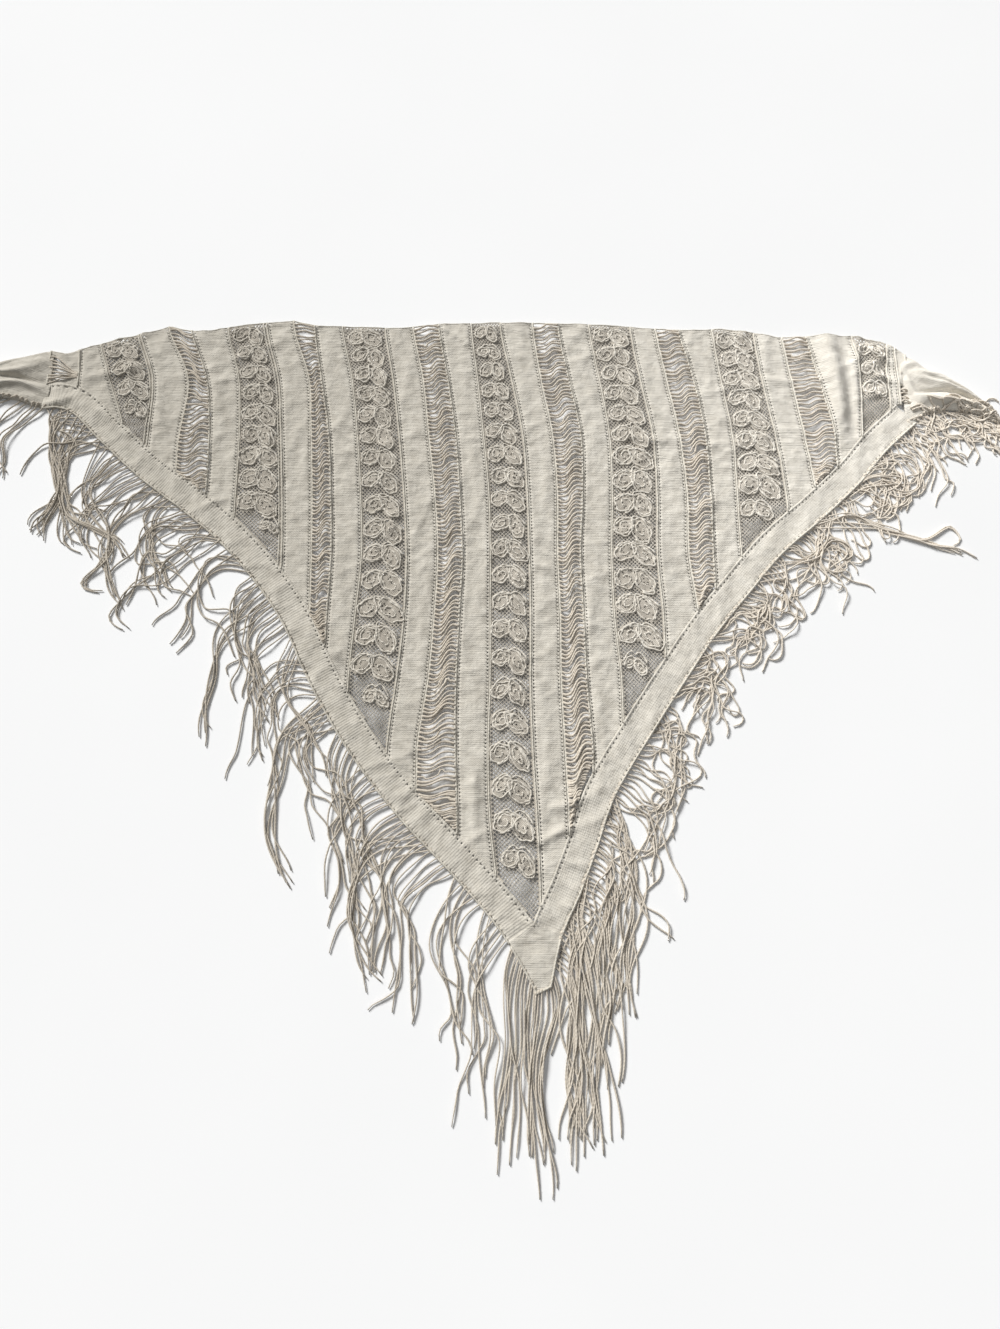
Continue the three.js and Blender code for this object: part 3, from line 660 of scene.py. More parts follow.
@dataclass(frozen=True)
class Yarn:
    """What all the shawl's finishes share: a matt cotton yarn in a warm pale grey."""

    name: str
    pale: tuple[int, int, int]
    deep: tuple[int, int, int]
    relief: float = 0.0007
    roughness: float = 0.86
    specular: float = 0.25
    sheen: float = 0.25
    sheen_roughness: float = 0.6

    def surface(self, graph: Graph, shade: Term, height: Term) -> Material:
        """The cloth's shader: the shade mixes the two colours, the height raises the surface, and a
        painted light falloff darkens the left end and lightens the right end.

        Args:
            graph: The material's graph.
            shade: 0 for the deep colour and 1 for the pale one, partly painted shade and partly random tone.
            height: What the relief is multiplied by.

        Returns:
            The material.
        """
        place = graph.node("ShaderNodeTexCoord", {}, {}, "Object")
        rightward = graph.node("ShaderNodeSeparateXYZ", {}, {0: place}, 0) * PAINTED_FALLOFF_SLOPE + PAINTED_FALLOFF_MIDDLE
        # Painted light falloff: darker towards the left end and lighter towards the right end.
        tint = graph.mix_colour(rightward * rightward, LEFT_PAINTED_SHADE, RIGHT_PAINTED_LIGHT)
        yarn = graph.mix_colour(shade, linear(*self.deep), linear(*self.pale))
        bump = {"Strength": 1.0, "Distance": self.relief, "Height": height}
        sockets = {
            "Base Color": graph.mix_colour(1.0, yarn, tint, "MULTIPLY"),
            "Roughness": self.roughness,
            "Normal": graph.node("ShaderNodeBump", {}, bump),
            "Specular IOR Level": self.specular,
            "Sheen Weight": self.sheen,
            "Sheen Roughness": self.sheen_roughness,
        }
        return graph.finish(graph.node("ShaderNodeBsdfPrincipled", {}, sockets))

    def coordinates(self, graph: Graph) -> tuple[Term, Term]:
        """The two millimetre coordinates of the piece's own map."""
        uv = graph.node("ShaderNodeUVMap", {"uv_map": "cloth"}, {})
        across = graph.node("ShaderNodeSeparateXYZ", {}, {0: uv}, 0)
        along = graph.node("ShaderNodeSeparateXYZ", {}, {0: uv}, 1)
        return across, along


@dataclass(frozen=True)
class Fabric(Yarn):
    """Knitted cloth: two waves for its stitches, under fibre, crinkles, streaks and soft patches."""

    first_relief: float = 0.24
    second_relief: float = 0.14
    fibre_relief: float = 0.35
    crinkle_relief: float = 1.7
    streak_relief: float = 0.9
    # The waves' and streaks' weights are painted shade in the grooves; soft and patch are random tone.
    first_painted_shade: float = 0.13
    second_painted_shade: float = 0.05
    streak_painted_shade: float = 0.5
    soft_shade: float = 0.4
    patch_shade: float = 0.8
    ground_shade: float = -0.42
    streak_short: float = 0.42
    streak_long: float = 0.05

    def knitted(self, graph: Graph, first: Term, second: Term, row: Term, run: Term) -> Material:
        """Relief and shade as weighted sums of the waves and of noise of several sizes.

        Args:
            graph: The material's graph.
            first: The stronger wave, from 0 to 1.
            second: The weaker wave, from 0 to 1.
            row: Millimetres along the rows, along which the streaks are drawn out.
            run: Millimetres from row to row.

        Returns:
            The material.
        """
        fibre, crinkle = graph.noise(900.0), graph.noise(150.0, 4.0)
        stretched = {0: row * self.streak_long, 1: run * self.streak_short}
        streak = graph.noise(1.0, 4.0, graph.node("ShaderNodeCombineXYZ", {}, stretched))
        height = first * self.first_relief + second * self.second_relief + fibre * self.fibre_relief
        height = height + crinkle * self.crinkle_relief + streak * self.streak_relief
        soft, patch = graph.noise(14.0, 3.0), graph.noise(110.0, 5.0)
        # Painted shade: the colour darkens with the waves and streaks where the relief is low.
        shade = first * self.first_painted_shade + second * self.second_painted_shade + streak * self.streak_painted_shade
        shade = shade + soft * self.soft_shade + patch * self.patch_shade + self.ground_shade
        return self.surface(graph, shade, height)


@dataclass(frozen=True)
class Knit(Fabric):
    """Stocking stitch: columns of slanted stitches in the pitch of wale and course."""

    wale: float = 3.0
    course: float = 2.3
    slant: float = 0.45

    def material(self) -> Material:
        """Each wale is a zigzag across, and its legs slant as the courses shift with that zigzag."""
        graph = Graph(self.name)
        across, along = self.coordinates(graph)
        leg = across.wave(self.wale)
        slanted = along + leg * (self.slant * self.course)
        stitch = (slanted * (TURN / self.course)).sine() * 0.5 + 0.5
        return self.knitted(graph, stitch, 1 - (leg * 2 - 1).size(), across, along)


@dataclass(frozen=True)
class Ribbed(Fabric):
    """Garter ribs that run across the border from side to side."""

    pitch: float = 3.0
    loop: float = 2.4
    loop_shift: float = 1.5
    first_relief: float = 0.28
    streak_relief: float = 0.5
    first_painted_shade: float = 0.14
    streak_painted_shade: float = 0.4
    ground_shade: float = -0.38

    def material(self) -> Material:
        """A wave along the border, broken by the single stitches across it."""
        graph = Graph(self.name)
        across, along = self.coordinates(graph)
        rib = (along * (TURN / self.pitch)).sine() * 0.5 + 0.5
        loop = (across * (TURN / self.loop) + rib * self.loop_shift).sine() * 0.5 + 0.5
        return self.knitted(graph, rib, loop, along, across)


@dataclass(frozen=True)
class Net(Yarn):
    """Open-work ground: fine loops with no clear columns."""

    relief: float = 0.0006
    loop_across: float = 2.6
    loop_along: float = 2.9

    def material(self) -> Material:
        """Crossed waves for the loops, under the yarn's own fibre."""
        graph = Graph(self.name)
        across, along = self.coordinates(graph)
        loops = (across * self.loop_across).sine() * (along * self.loop_along).sine() * 0.5 + 0.5
        height = loops * 0.6 + graph.noise(700.0) * 0.5
        # Painted shade: the colour follows the loops' height, darker in their hollows; the noise is random
        # tone.
        return self.surface(graph, height * 0.5 + graph.noise(60.0, 3.0) * 0.45, height)


@dataclass(frozen=True)
class Cord(Yarn):
    """Twisted yarn: slanted stripes round and along it."""

    relief: float = 0.0005
    twist: float = 4.2
    ply_relief: float = 0.3
    ply_painted_shade: float = 0.14

    def material(self) -> Material:
        """Stripes that wind once round in each length of twist, twice over for the two plies."""
        graph = Graph(self.name)
        around, along = self.coordinates(graph)
        ply = ((around * 2 + along / self.twist) * TURN).sine() * 0.5 + 0.5
        fibre = graph.noise(800.0)
        # Painted shade: the stripes darken the colour in the grooves between the plies; the noise is random
        # tone.
        shade = ply * self.ply_painted_shade + fibre * 0.25 + graph.noise(40.0, 3.0) * 0.7
        return self.surface(graph, shade, ply * self.ply_relief + fibre * 0.4)


def dressed(finish: Knit | Ribbed | Net | Cord) -> Material:
    """A field whose value is a finish's material, made when the finishes are."""
    return field(default_factory=finish.material)


@dataclass
class Finishes:
    """The materials, made once, each from a pale and a deep colour: the yarn's tones mixed with painted
    shade.
    """

    plain: Material = dressed(Knit("plain knit", (238, 234, 225), (186, 180, 168)))
    # The lace ground's deep colour is painted shadow, far darker than the yarn, for the shade under the net.
    net: Material = dressed(Net("lace ground", (236, 230, 219), (132, 123, 110)))
    motif: Material = dressed(Cord("raised lace cord", (248, 244, 235), (190, 182, 169)))
    rung: Material = dressed(Cord("ladder yarn", (240, 232, 219), (190, 178, 162)))
    chain: Material = dressed(Cord("edge chain", (236, 232, 222), (184, 178, 165)))
    border: Material = dressed(Ribbed("ribbed border", (238, 234, 225), (186, 180, 168)))
    fringe: Material = dressed(Cord("fringe yarn", (234, 226, 213), (172, 161, 147)))


# The cut


@dataclass(frozen=True)
class Seam:
    """A seam between two bands: its x at even steps of y."""

    band: str
    places: tuple[float, ...]

    def x(self, y: Array | float) -> Array:
        """The seam's x at a height y."""
        return smooth_values(self.places, (LEVEL_TOP - np.asarray(y, float)) / LEVEL_STEP)


@dataclass
class Cut:
    """The lines that the pieces share: neck edge, border and the V under the bands."""

    step: float = 3.2
    seams: list[Seam] = field(init=False)
    left: Array = field(init=False)
    right: Array = field(init=False)
    left_foot: int = field(init=False)
    right_foot: int = field(init=False)
    meet: Array = field(init=False)
    floor_line: Array = field(init=False)

    def __post_init__(self) -> None:
        """Work out the border's outer lines and where their inner lines meet."""
        self.seams = [Seam(name, places) for name, places in SEAMS]
        self.left, self.right = smooth_line(LEFT_EDGE, self.step), smooth_line(RIGHT_EDGE, self.step)
        inner = [line + left_of(line) * (BORDER_WIDTH + SEAM_GAP) for line in (self.left, self.right)]
        apart = np.linalg.norm(inner[0][:, None] - inner[1][None], axis=2)
        self.left_foot, self.right_foot = np.unravel_index(np.argmin(apart), apart.shape)
        self.meet = (inner[0][self.left_foot] + inner[1][self.right_foot]) / 2
        left, right = inner[0][: self.left_foot], inner[1][self.right_foot + 1 :]
        self.floor_line = np.vstack([left, [self.meet], right])

    def floor(self, x: Array) -> Array:
        """The height y of the bands' lower end at x."""
        return np.interp(x, self.floor_line[:, 0], self.floor_line[:, 1])

    def neck(self, x: Array) -> Array:
        """The height y of the neck edge at x."""
        table = np.array(NECK_EDGE, float)
        return np.interp(x, table[:, 0], table[:, 1])


@dataclass
class Band:
    """One knitted band between two seams, from the neck edge down to the border."""

    name: str
    left: Seam
    right: Seam
    cut: Cut
    finishes: Finishes
    narrowest_cut: float = 11.0
    halvings: int = 36
    chain_end: float = 0.6
    chain_step: float = 3.1
    roll_drop: float = 0.8
    roll_lift: float = 0.7
    roll_radius: float = 0.95

    @property
    def kind(self) -> Kind:
        """What the band is knitted as, from its name."""
        return Kind(self.name.split("_")[0])

    @property
    def count_from_left(self) -> int:
        """The band's number among those of its kind."""
        return int(self.name.split("_")[1])

    def x(self, share: Array | float, shift: Array | float, y: Array) -> Array:
        """A place between the seams: a share of the way across, and a shift in millimetres."""
        near, far = self.left.x(y) + SEAM_GAP / 2, self.right.x(y) - SEAM_GAP / 2
        return mix(near, far, share) + shift

    def ends(self, share: Array, shift: Array) -> tuple[Array, Array]:
        """The heights where columns of the band meet the border and the neck edge, by halving."""

        def meet(line: Callable[[Array], Array]) -> Array:
            """Halve the range of y until the column's x puts the line there."""
            low, high = np.full(share.shape, LOWEST_Y), np.full(share.shape, HIGHEST_Y)
            for _ in range(self.halvings):
                middle = (low + high) / 2
                above = middle > line(self.x(share, shift, middle))
                low, high = np.where(above, low, middle), np.where(above, middle, high)
            return (low + high) / 2

        return meet(self.cut.floor), meet(self.cut.neck)

    def courses(self, share: Array, shift: Array, steps: Sequence[float]) -> tuple[Array, Array, Array]:
        """Rows of knitting from the neck edge down, cut off along both ends.

        Row numbers past a column's end are held at that end, so that the cut edge is clean.

        Args:
            share: Each column's share across.
            shift: Each column's shift in millimetres.
            steps: The distances between rows, used in turn.

        Returns:
            The rows' x and y, and the row number that each place is held at.
        """
        bottom, top = self.ends(share, shift)
        step = float(np.mean(steps))
        rows = int((top.max() - bottom.min()) / step) + 4
        levels = top.max() + step - np.cumsum(np.resize(steps, rows))
        first = (levels[:, None] > top - SNAP * step).sum(0) - 1
        last = (levels[:, None] > bottom + SNAP * step).sum(0)
        held = np.clip(np.arange(len(levels))[:, None], first, last)
        y = levels[held]
        y = np.where(held == first, top, np.where(held == last, bottom, y))
        return self.x(share, shift, y), y, held

    def edge_chain(self, share: float, shift: float, radius: float, lift: float) -> Patch:
        """A beaded cord along a seam: its radius swells once in every two courses."""
        bottom, top = (end[0] for end in self.ends(np.array([share]), np.array([shift])))
        count = max(4, int((top - bottom) / self.chain_step))
        y = np.linspace(bottom + self.chain_end, top - self.chain_end, count)
        return beaded(lay(self.x(share, shift, y), y, lift), radius)

    def both_chains(self, inset: float, radius: float, lift: float) -> list[Patch]:
        """A chain along each seam, at the same distance inside it."""
        return [self.edge_chain(*side, radius, lift) for side in ((0, inset), (1, -inset))]

    def neck_roll(self) -> Patch:
        """The cast-off edge along the neck: a low cord."""
        shares = np.linspace(0.01, 0.99, 12)
        top = self.ends(shares, np.zeros(12))[1]
        path = lay(self.x(shares, 0, top), top - self.roll_drop, self.roll_lift)
        return tubes(path[None], self.roll_radius, 6)

    def place(self, piece: Piece) -> None:
        """Say what a piece of the band rides on, and what it stands for."""
        wear(piece, self.name)

    def declare(self, piece: Piece, full: Patch, x: Array, y: Array, cords: Sequence[Piece] = ()) -> None:
        """Place the band's cloth, and say what it was cut to.

        Args:
            piece: The cloth.
            full: The band with no holes.
            x: Its rows' x, whose greatest width is the cut's.
            y: Its rows' y, whose whole range is the cut's length.
            cords: Pieces that lie on it.
        """
        self.place(piece)
        width = max(float((x[:, -1] - x[:, 0]).max()), self.narrowest_cut)
        spread(piece, (width * METRE, float(y.max() - y.min()) * METRE), full.area(), cords)


@dataclass
class PlainBand(Band):
    """A band of stocking stitch with a row of eyelets along each side."""

    columns: int = 11

    def build(self) -> Piece:
        """A shell over rows of knitting. Every other cell of the eyelet columns is left open."""
        inner = np.linspace(0, 1, self.columns + 1)
        share = np.concatenate([[0, 0], inner, [1, 1]])
        shift = np.concatenate([[0, EDGE_BAR], EYELET_TO * (1 - 2 * inner), [-EDGE_BAR, 0]])
        x, y, held = self.courses(share, shift, COURSES)
        rows, count = x.shape
        number = held * count + np.arange(count)
        quads = cells(number)
        free = np.diff(held, axis=0) == 1
        whole = free[:, :-1] & free[:, 1:]
        column, row = np.meshgrid(np.arange(count - 1), np.arange(rows - 1))
        eyelet = ((column == 1) | (column == count - 3)) & (row % 2 == 0) & whole
        eyelet &= np.roll(whole, 1, axis=0) & np.roll(whole, -1, axis=0)
        points = lay(x, y, FABRIC).reshape(-1, 3)
        uv = np.stack([x - self.left.x(y), y], axis=-1).reshape(-1, 2)
        full = Patch.of_faces(points, quads.reshape(-1, 4), uv)
        cloth = Patch.of_faces(points, quads[~eyelet], uv).thickened(FABRIC)
        layers = [(cloth, self.finishes.plain), (self.neck_roll(), self.finishes.chain)]
        piece = finished(f"{self.name}_knit", layers)
        self.declare(piece, full, x, y)
        return piece


@dataclass(frozen=True)
class Leaf:
    """One oval of a motif: its middle and its two radii as shares of the band's width and the pitch."""

    across: float
    up: float
    long: float
    short: float
    tilt: float
    phase: float = 0.0
    turns: float = 2.3
    step: float = 1.25
    mean_turn: float = 0.72
    wound_in: float = 0.74
    point: float = 0.14
    rim: float = 1.12

    def curl(self, start: float, width: float, y: float, pitch: float) -> Array:
        """A cord that runs once round an uneven oval and then winds inwards.

        The oval is (a cos t + p cos cubed t, b sin t) times a lumpy share that falls from 1 past
        the first turn, turned by the tilt.
        """
        a, b = self.sizes(width, pitch)
        count = int(TURN * self.turns * self.mean_turn * (a + b) / 2 / self.step)
        share = np.linspace(0, 1, count)
        t = TURN * self.turns * share + self.phase
        inward = 1 - self.wound_in * smooth_step(0.3, 1.0, share)
        lump = inward * (1 + 0.07 * np.sin(3.3 * t) + 0.06 * np.sin(5.7 * t + self.phase))
        u, v = lump * (a * np.cos(t) + self.point * a * np.cos(t) ** 3), lump * b * np.sin(t)
        cos, sin = math.cos(self.tilt), math.sin(self.tilt)
        middle = np.array((start + self.across * width, y + self.up * pitch))
        return middle + np.stack([u * cos - v * sin, u * sin + v * cos], axis=1)

    def sizes(self, width: float, pitch: float) -> tuple[float, float]:
        """The long and the short radius in millimetres, kept apart from the next motif."""
        long = min(self.long * width, 0.46 * pitch / max(0.3, abs(math.sin(self.tilt))))
        return long, min(self.short * width, 0.42 * pitch)

    def depth(self, x: Array, y: Array, start: float, width: float, at: float, pitch: float) -> Array:
        """1 in the middle, 0 on the rim and less outside: 1 less the squared radii's shares."""
        a, b = self.sizes(width, pitch)
        dx, dy = x - (start + self.across * width), y - (at + self.up * pitch)
        cos, sin = math.cos(self.tilt), math.sin(self.tilt)
        u, v = (dx * cos + dy * sin) / (a * self.rim), (dy * cos - dx * sin) / (b * self.rim)
        return 1 - u**2 - v**2


@dataclass(frozen=True)
class Motif:
    """Two leaves that hang from one stem, with an arch over them, as raised cords."""

    leaves: tuple[Leaf, ...] = (Leaf(0.25, 0.05, 0.25, 0.23, 0.6), Leaf(0.68, -0.08, 0.35, 0.2, 2.2))
    arch_up: float = 0.5
    arch_dip: float = 0.25
    arch_lean: float = 0.14
    arch_step: float = 1.4

    def cords(
        self, start: float, stop: float, y: float, pitch: float, draw: np.random.Generator
    ) -> list[Array]:
        """The middle lines of the cords: a curl for each leaf, and an arch from side to side.

        The arch is a half oval over both leaves, which dips between them by a bell.

        Args:
            start: The motif's left side.
            stop: Its right side.
            y: Its middle's height.
            pitch: The distance to the next motif.
            draw: Random numbers.

        Returns:
            A flat line for each cord.
        """
        width = stop - start
        lines = []
        for leaf in self.leaves:
            own = Leaf(
                leaf.across + draw.uniform(-0.03, 0.03),
                leaf.up + draw.uniform(-0.05, 0.05),
                leaf.long * draw.uniform(0.88, 1.06),
                leaf.short * draw.uniform(0.86, 1.1),
                leaf.tilt + draw.uniform(-0.25, 0.25),
                draw.uniform(0, TURN),
                leaf.turns * draw.uniform(0.85, 1.2),
            )
            lines.append(own.curl(start, width, y, pitch))
        t = np.linspace(0.02, 0.98, max(12, int(width / self.arch_step)))
        dip = self.arch_dip * np.exp(-(((t - 0.48) / 0.1) ** 2))
        rise = self.arch_up * pitch * (np.sin(np.pi * t) ** 0.6 - dip)
        drop = self.arch_lean * pitch * t + 0.6 * np.sin(9 * t + draw.uniform(0, 6))
        lines.append(np.stack([start + t * width, y + rise - drop], axis=1))
        return lines


# A second chain inside a lace band: its share across, its shift, its radius and its lift.
SECOND_CHAINS = {name: (1, -5.2, 1.0, 1.3) for name in ("lace_1", "lace_2")}


@dataclass
class LaceBand(Band):
    """An open net with leaves and rosettes raised over it."""

    motif: Motif = field(default_factory=Motif)
    cell: float = 4.4
    row: float = 2.45
    margin: float = 4.0
    first: float = 17.0
    pitch_top: float = 27.0
    pitch_tip: float = 44.0
    narrowest: float = 0.62
    cord: float = 1.05
    bead: float = 2.6
    bead_swell: float = 0.34
    cord_lift: float = 0.75
    bumps: float = 0.75
    leaf_rise: float = 0.9
    knot_rise: float = 0.12
    chain_in: float = 1.2
    chain_radius: float = 1.15
    wall: float = 0.8
    open_top: float = 0.66
    open_gain: float = 0.13
    open_spread: float = 0.05
    open_by_leaf: float = 0.22
    leaf_open: float = 0.42
    leaf_spread: float = 0.06
    open_from: float = 430.0
    open_over: float = 490.0

    def limits(self, y: float, margin: float) -> tuple[float, float]:
        """The x range inside the band at a height y, clear of its seams and of the border."""
        line = self.cut.floor_line
        bottom = int(np.argmin(line[:, 1]))
        left = np.interp(y, line[: bottom + 1, 1][::-1], line[: bottom + 1, 0][::-1])
        right = np.interp(y, line[bottom:, 1], line[bottom:, 0])
        low, high = float(self.left.x(y)), float(self.right.x(y))
        return max(low, left) + margin, min(high, right) - margin

    def spots(self) -> list[tuple[float, float, float, float]]:
        """The motifs as from, to, y and pitch: stacked down the band, each wider apart than the last."""
        lowest = float(self.cut.meet[1])
        middle = (self.left.places[0] + self.right.places[0]) / 2
        y = float(self.cut.neck(middle)) - self.first
        found = []
        while y > lowest:
            pitch = mix(self.pitch_top, self.pitch_tip, (LEVEL_TOP - y) / (LEVEL_TOP - lowest))
            low, high = self.limits(y - pitch / 2, self.margin), self.limits(y + pitch / 2, self.margin)
            start, stop = max(low[0], high[0]), min(low[1], high[1])
            if stop - start > pitch * self.narrowest:
                found.append((start, stop, y, float(pitch)))
            y -= pitch
        return found

    def closed(self, x: Array, y: Array) -> Array:
        """How deep a place lies inside a leaf: 1 in its middle and 0 on its rim, the most of all."""
        inside = np.full(x.shape, -9.0)
        for start, stop, at, pitch in self.spots():
            for leaf in self.motif.leaves:
                inside = np.maximum(inside, leaf.depth(x, y, start, stop - start, at, pitch))
        return inside

    def openness(self, x: Array, y: Array, inside: Array) -> tuple[Array, Array]:
        """How far the cell round each place is open, as a share, and whether it has a hole at all.

        The share grows down the band by a straight line, falls beside a leaf, and varies by the
        product of two waves. Inside a leaf it is small, and only where that product is high.
        """
        grain = np.sin(x * 1.7 + y * 0.9) * np.sin(y * 1.3 - x * 0.6)
        depth = np.clip((self.open_from - y) / self.open_over, 0, 1)
        share = self.open_top + self.open_gain * depth + self.open_spread * grain
        share = share * (1 - self.open_by_leaf * smooth_step(-0.5, 0.1, inside))
        share = np.where(inside > 0.05, self.leaf_open + self.leaf_spread * grain, share)
        return share, (inside < 0.05) | (grain > 0.3)

    def net(self) -> tuple[Patch, Patch, Array, Array]:
        """A net of upright diamonds in staggered rows, each with a hole unless a motif closes it.

        Corners are the places whose column and row numbers add up to an odd number, and a cell's
        middle is one where they add up to an even one. A hole's corners lie between the middle
        and the cell's corners.

        Returns:
            The net, the same without holes, and the x and y of its rows.
        """
        levels = np.array((400.0, 200.0))
        width = float(np.mean(self.right.x(levels) - self.left.x(levels)))
        half = 2 * max(4, round(width / self.cell))
        share = np.arange(half + 1) / half
        x, y, held = self.courses(share, np.zeros(half + 1), (self.row,))
        rows, count = x.shape
        number = held * count + np.arange(count)
        r, c = np.meshgrid(np.arange(1, rows - 1), np.arange(count), indexing="ij")
        even = (r + c) % 2 == 0
        inner = even & (c > 0) & (c < half)
        ri, ci = r[inner], c[inner]
        ring = [(ri - 1, ci), (ri, ci - 1), (ri + 1, ci), (ri, ci + 1)]
        corners = np.stack([number[a, b] for a, b in ring], axis=1)
        free = np.stack([held[a, b] == a for a, b in ring], axis=1).all(1) & (held[ri, ci] == ri)
        beyond = [np.clip(ri + d, 0, rows - 1) for d in (-2, 2)]
        free &= np.stack([held[row, ci] == row for row in beyond]).all(0)
        flat = np.stack([x.ravel(), y.ravel()], axis=1)
        middle = flat[number[ri, ci]]
        share_open, holed = self.openness(*middle.T, self.closed(*middle.T))
        holed &= free & (ci > 1) & (ci < half - 1)
        edge_r, edge_c = r[even & ((c == 0) | (c == half))], c[even & ((c == 0) | (c == half))]
        beside = np.where(edge_c == 0, 1, half - 1)
        three = (number[edge_r - 1, edge_c], number[edge_r + 1, edge_c], number[edge_r, beside])
        tri = np.stack(three, axis=1)
        tri = np.where((edge_c == half)[:, None], tri[:, [1, 0, 2]], tri)
        outer = corners[holed]
        centre = middle[holed][:, None]
        hole = centre + (flat[outer] - centre) * share_open[holed][:, None, None]
        rim = len(flat) + np.arange(4 * len(outer)).reshape(-1, 4)
        sides = [(k, (k + 1) % 4) for k in range(4)]
        rims = [np.stack([outer[:, a], outer[:, b], rim[:, b], rim[:, a]], axis=1) for a, b in sides]
        px, py = np.vstack([flat, hole.reshape(-1, 2)]).T
        points = lay(px, py, FABRIC)
        leafy = smooth_step(-0.15, 0.25, self.closed(px, py))
        knots = np.random.default_rng(len(points)).uniform(-1, 1, len(points))
        points[:, 2] += leafy * (self.leaf_rise + self.bumps * knots) + self.knot_rise * knots
        uv = np.stack([px - self.left.x(py), py], axis=1)
        quads = np.vstack([corners[~holed]] + rims)
        return Patch.of_faces(points, quads, uv, tri), Patch.of_faces(points, corners, uv, tri), x, y

    def raised_cords(self) -> Patch:
        """Every motif's cords as tubes that lie on the net."""
        draw = np.random.default_rng(self.count_from_left * 31)
        parts = []
        for start, stop, y, pitch in self.spots():
            for line in self.motif.cords(start, stop, y, pitch, draw):
                low, high = self.limits(y, 1.5)
                over = FABRIC + self.cord_lift + 0.3 * np.sin(along_line(line) * 0.8)
                path = lay(np.clip(line[:, 0], low, high), line[:, 1], over)
                bead = 1 + self.bead_swell * np.cos(TURN * along_line(path) / self.bead)
                bead = bead * draw.uniform(0.78, 1.2, len(path))
                parts.append(tubes(path[None], self.cord * bead, 5))
        return joined(parts)

    def build(self) -> Piece:
        """The net as a shell, its motifs, the chains along both seams and the neck roll."""
        net, full, x, y = self.net()
        chains = self.both_chains(self.chain_in, self.chain_radius, FABRIC)
        if self.name in SECOND_CHAINS:
            chains.append(self.edge_chain(*SECOND_CHAINS[self.name]))
        chains.append(self.neck_roll())
        layers = [(self.raised_cords(), self.finishes.motif), (joined(chains), self.finishes.chain)]
        cords = finished(f"{self.name}_cords", layers)
        self.place(cords)
        piece = finished(f"{self.name}_net", [(net.thickened(FABRIC * self.wall), self.finishes.net)])
        self.declare(piece, full, x, y, [cords])
        return piece


@dataclass(frozen=True)
class Sway:
    """How the rungs hang at a height y: their rise from left to right and their bow."""

    y: float
    rise: float
    bow: float


@dataclass(frozen=True)
class Eye:
    """A place where two rungs part: its middle, its half width, and how far they move."""

    x: float
    y: float
    half: float
    push: float
    reach: float


# How each ladder's rungs hang, from the neck edge down.
SWAYS = {band: tuple(Sway(*row) for row in rows) for band, rows in {
    "ladder_0": ((430, 2, 0), (340, -2, 0)),
    "ladder_1": ((460, -12, 0.5), (400, -14, 0.5), (355, -9, 0), (335, 8, 1.5), (300, 12, 2.5),
        (250, 5, 3.0), (200, 0, 1.5)),
    "ladder_2": ((460, -5, 1), (390, 6, 1.5), (280, 12, 2), (160, 10, 2), (40, 4, 2)),
    "ladder_3": ((460, 4, 1), (400, 9, 1.5), (330, 12, 2), (210, 11, 2), (120, 16, 2), (40, 15, 2.5),
        (-30, 17, 2), (-80, 9, 2), (-160, 3, 1.5), (-220, -3, 0)),
    "ladder_4": ((460, 6, 1), (390, 10, 1.5), (250, 12, 2), (120, 14, 2.5), (0, 16, 2.5), (-100, 20, 2),
        (-170, 18, 1)),
    "ladder_5": ((460, 4, 1), (350, 9, 1.5), (250, 12, 2), (120, 8, 2)),
    "ladder_6": ((440, 2, 1), (380, 3, 1), (300, 8, 2), (240, 6, 1)),
    "ladder_7": ((430, 3, 0), (330, -2, 0)),
}.items()}

# Where each ladder's rungs part.
EYES = {band: tuple(Eye(*row) for row in rows) for band, rows in {
    "ladder_1": ((-404, 398, 22, 1.6, 15), (-396, 352, 22, 2.0, 16), (-398, 262, 24, 1.6, 14)),
    "ladder_2": ((-242, 400, 20, 1.6, 14), (-222, 250, 20, 1.8, 15), (-218, 86, 22, 3.2, 18)),
    "ladder_3": ((-92, 432, 22, 1.8, 13), (-80, 330, 20, 1.6, 13), (-66, 266, 22, 2.6, 16),
        (-78, 190, 13, 3.6, 17), (-62, 96, 18, 1.6, 13), (-66, -22, 20, 2.0, 15),
        (-78, -86, 26, 2.0, 14), (-76, -132, 26, 2.6, 16), (-74, -166, 24, 2.2, 14)),
    "ladder_4": ((66, 400, 18, 1.8, 14), (80, 322, 18, 1.6, 13), (84, 214, 14, 2.2, 14),
        (82, 120, 18, 1.6, 13), (84, 66, 16, 2.2, 14), (90, -58, 20, 1.6, 13)),
    "ladder_5": ((226, 410, 16, 2.2, 14), (240, 350, 18, 1.6, 13), (253, 283, 15, 4.6, 21),
        (252, 214, 18, 1.8, 14), (250, 150, 18, 2.0, 14)),
    "ladder_6": ((384, 416, 18, 1.8, 13), (400, 310, 18, 2.2, 14)),
}.items()}

# The height above which cloth lies over a band's rungs.
COVERED = {"ladder_7": 366.0}


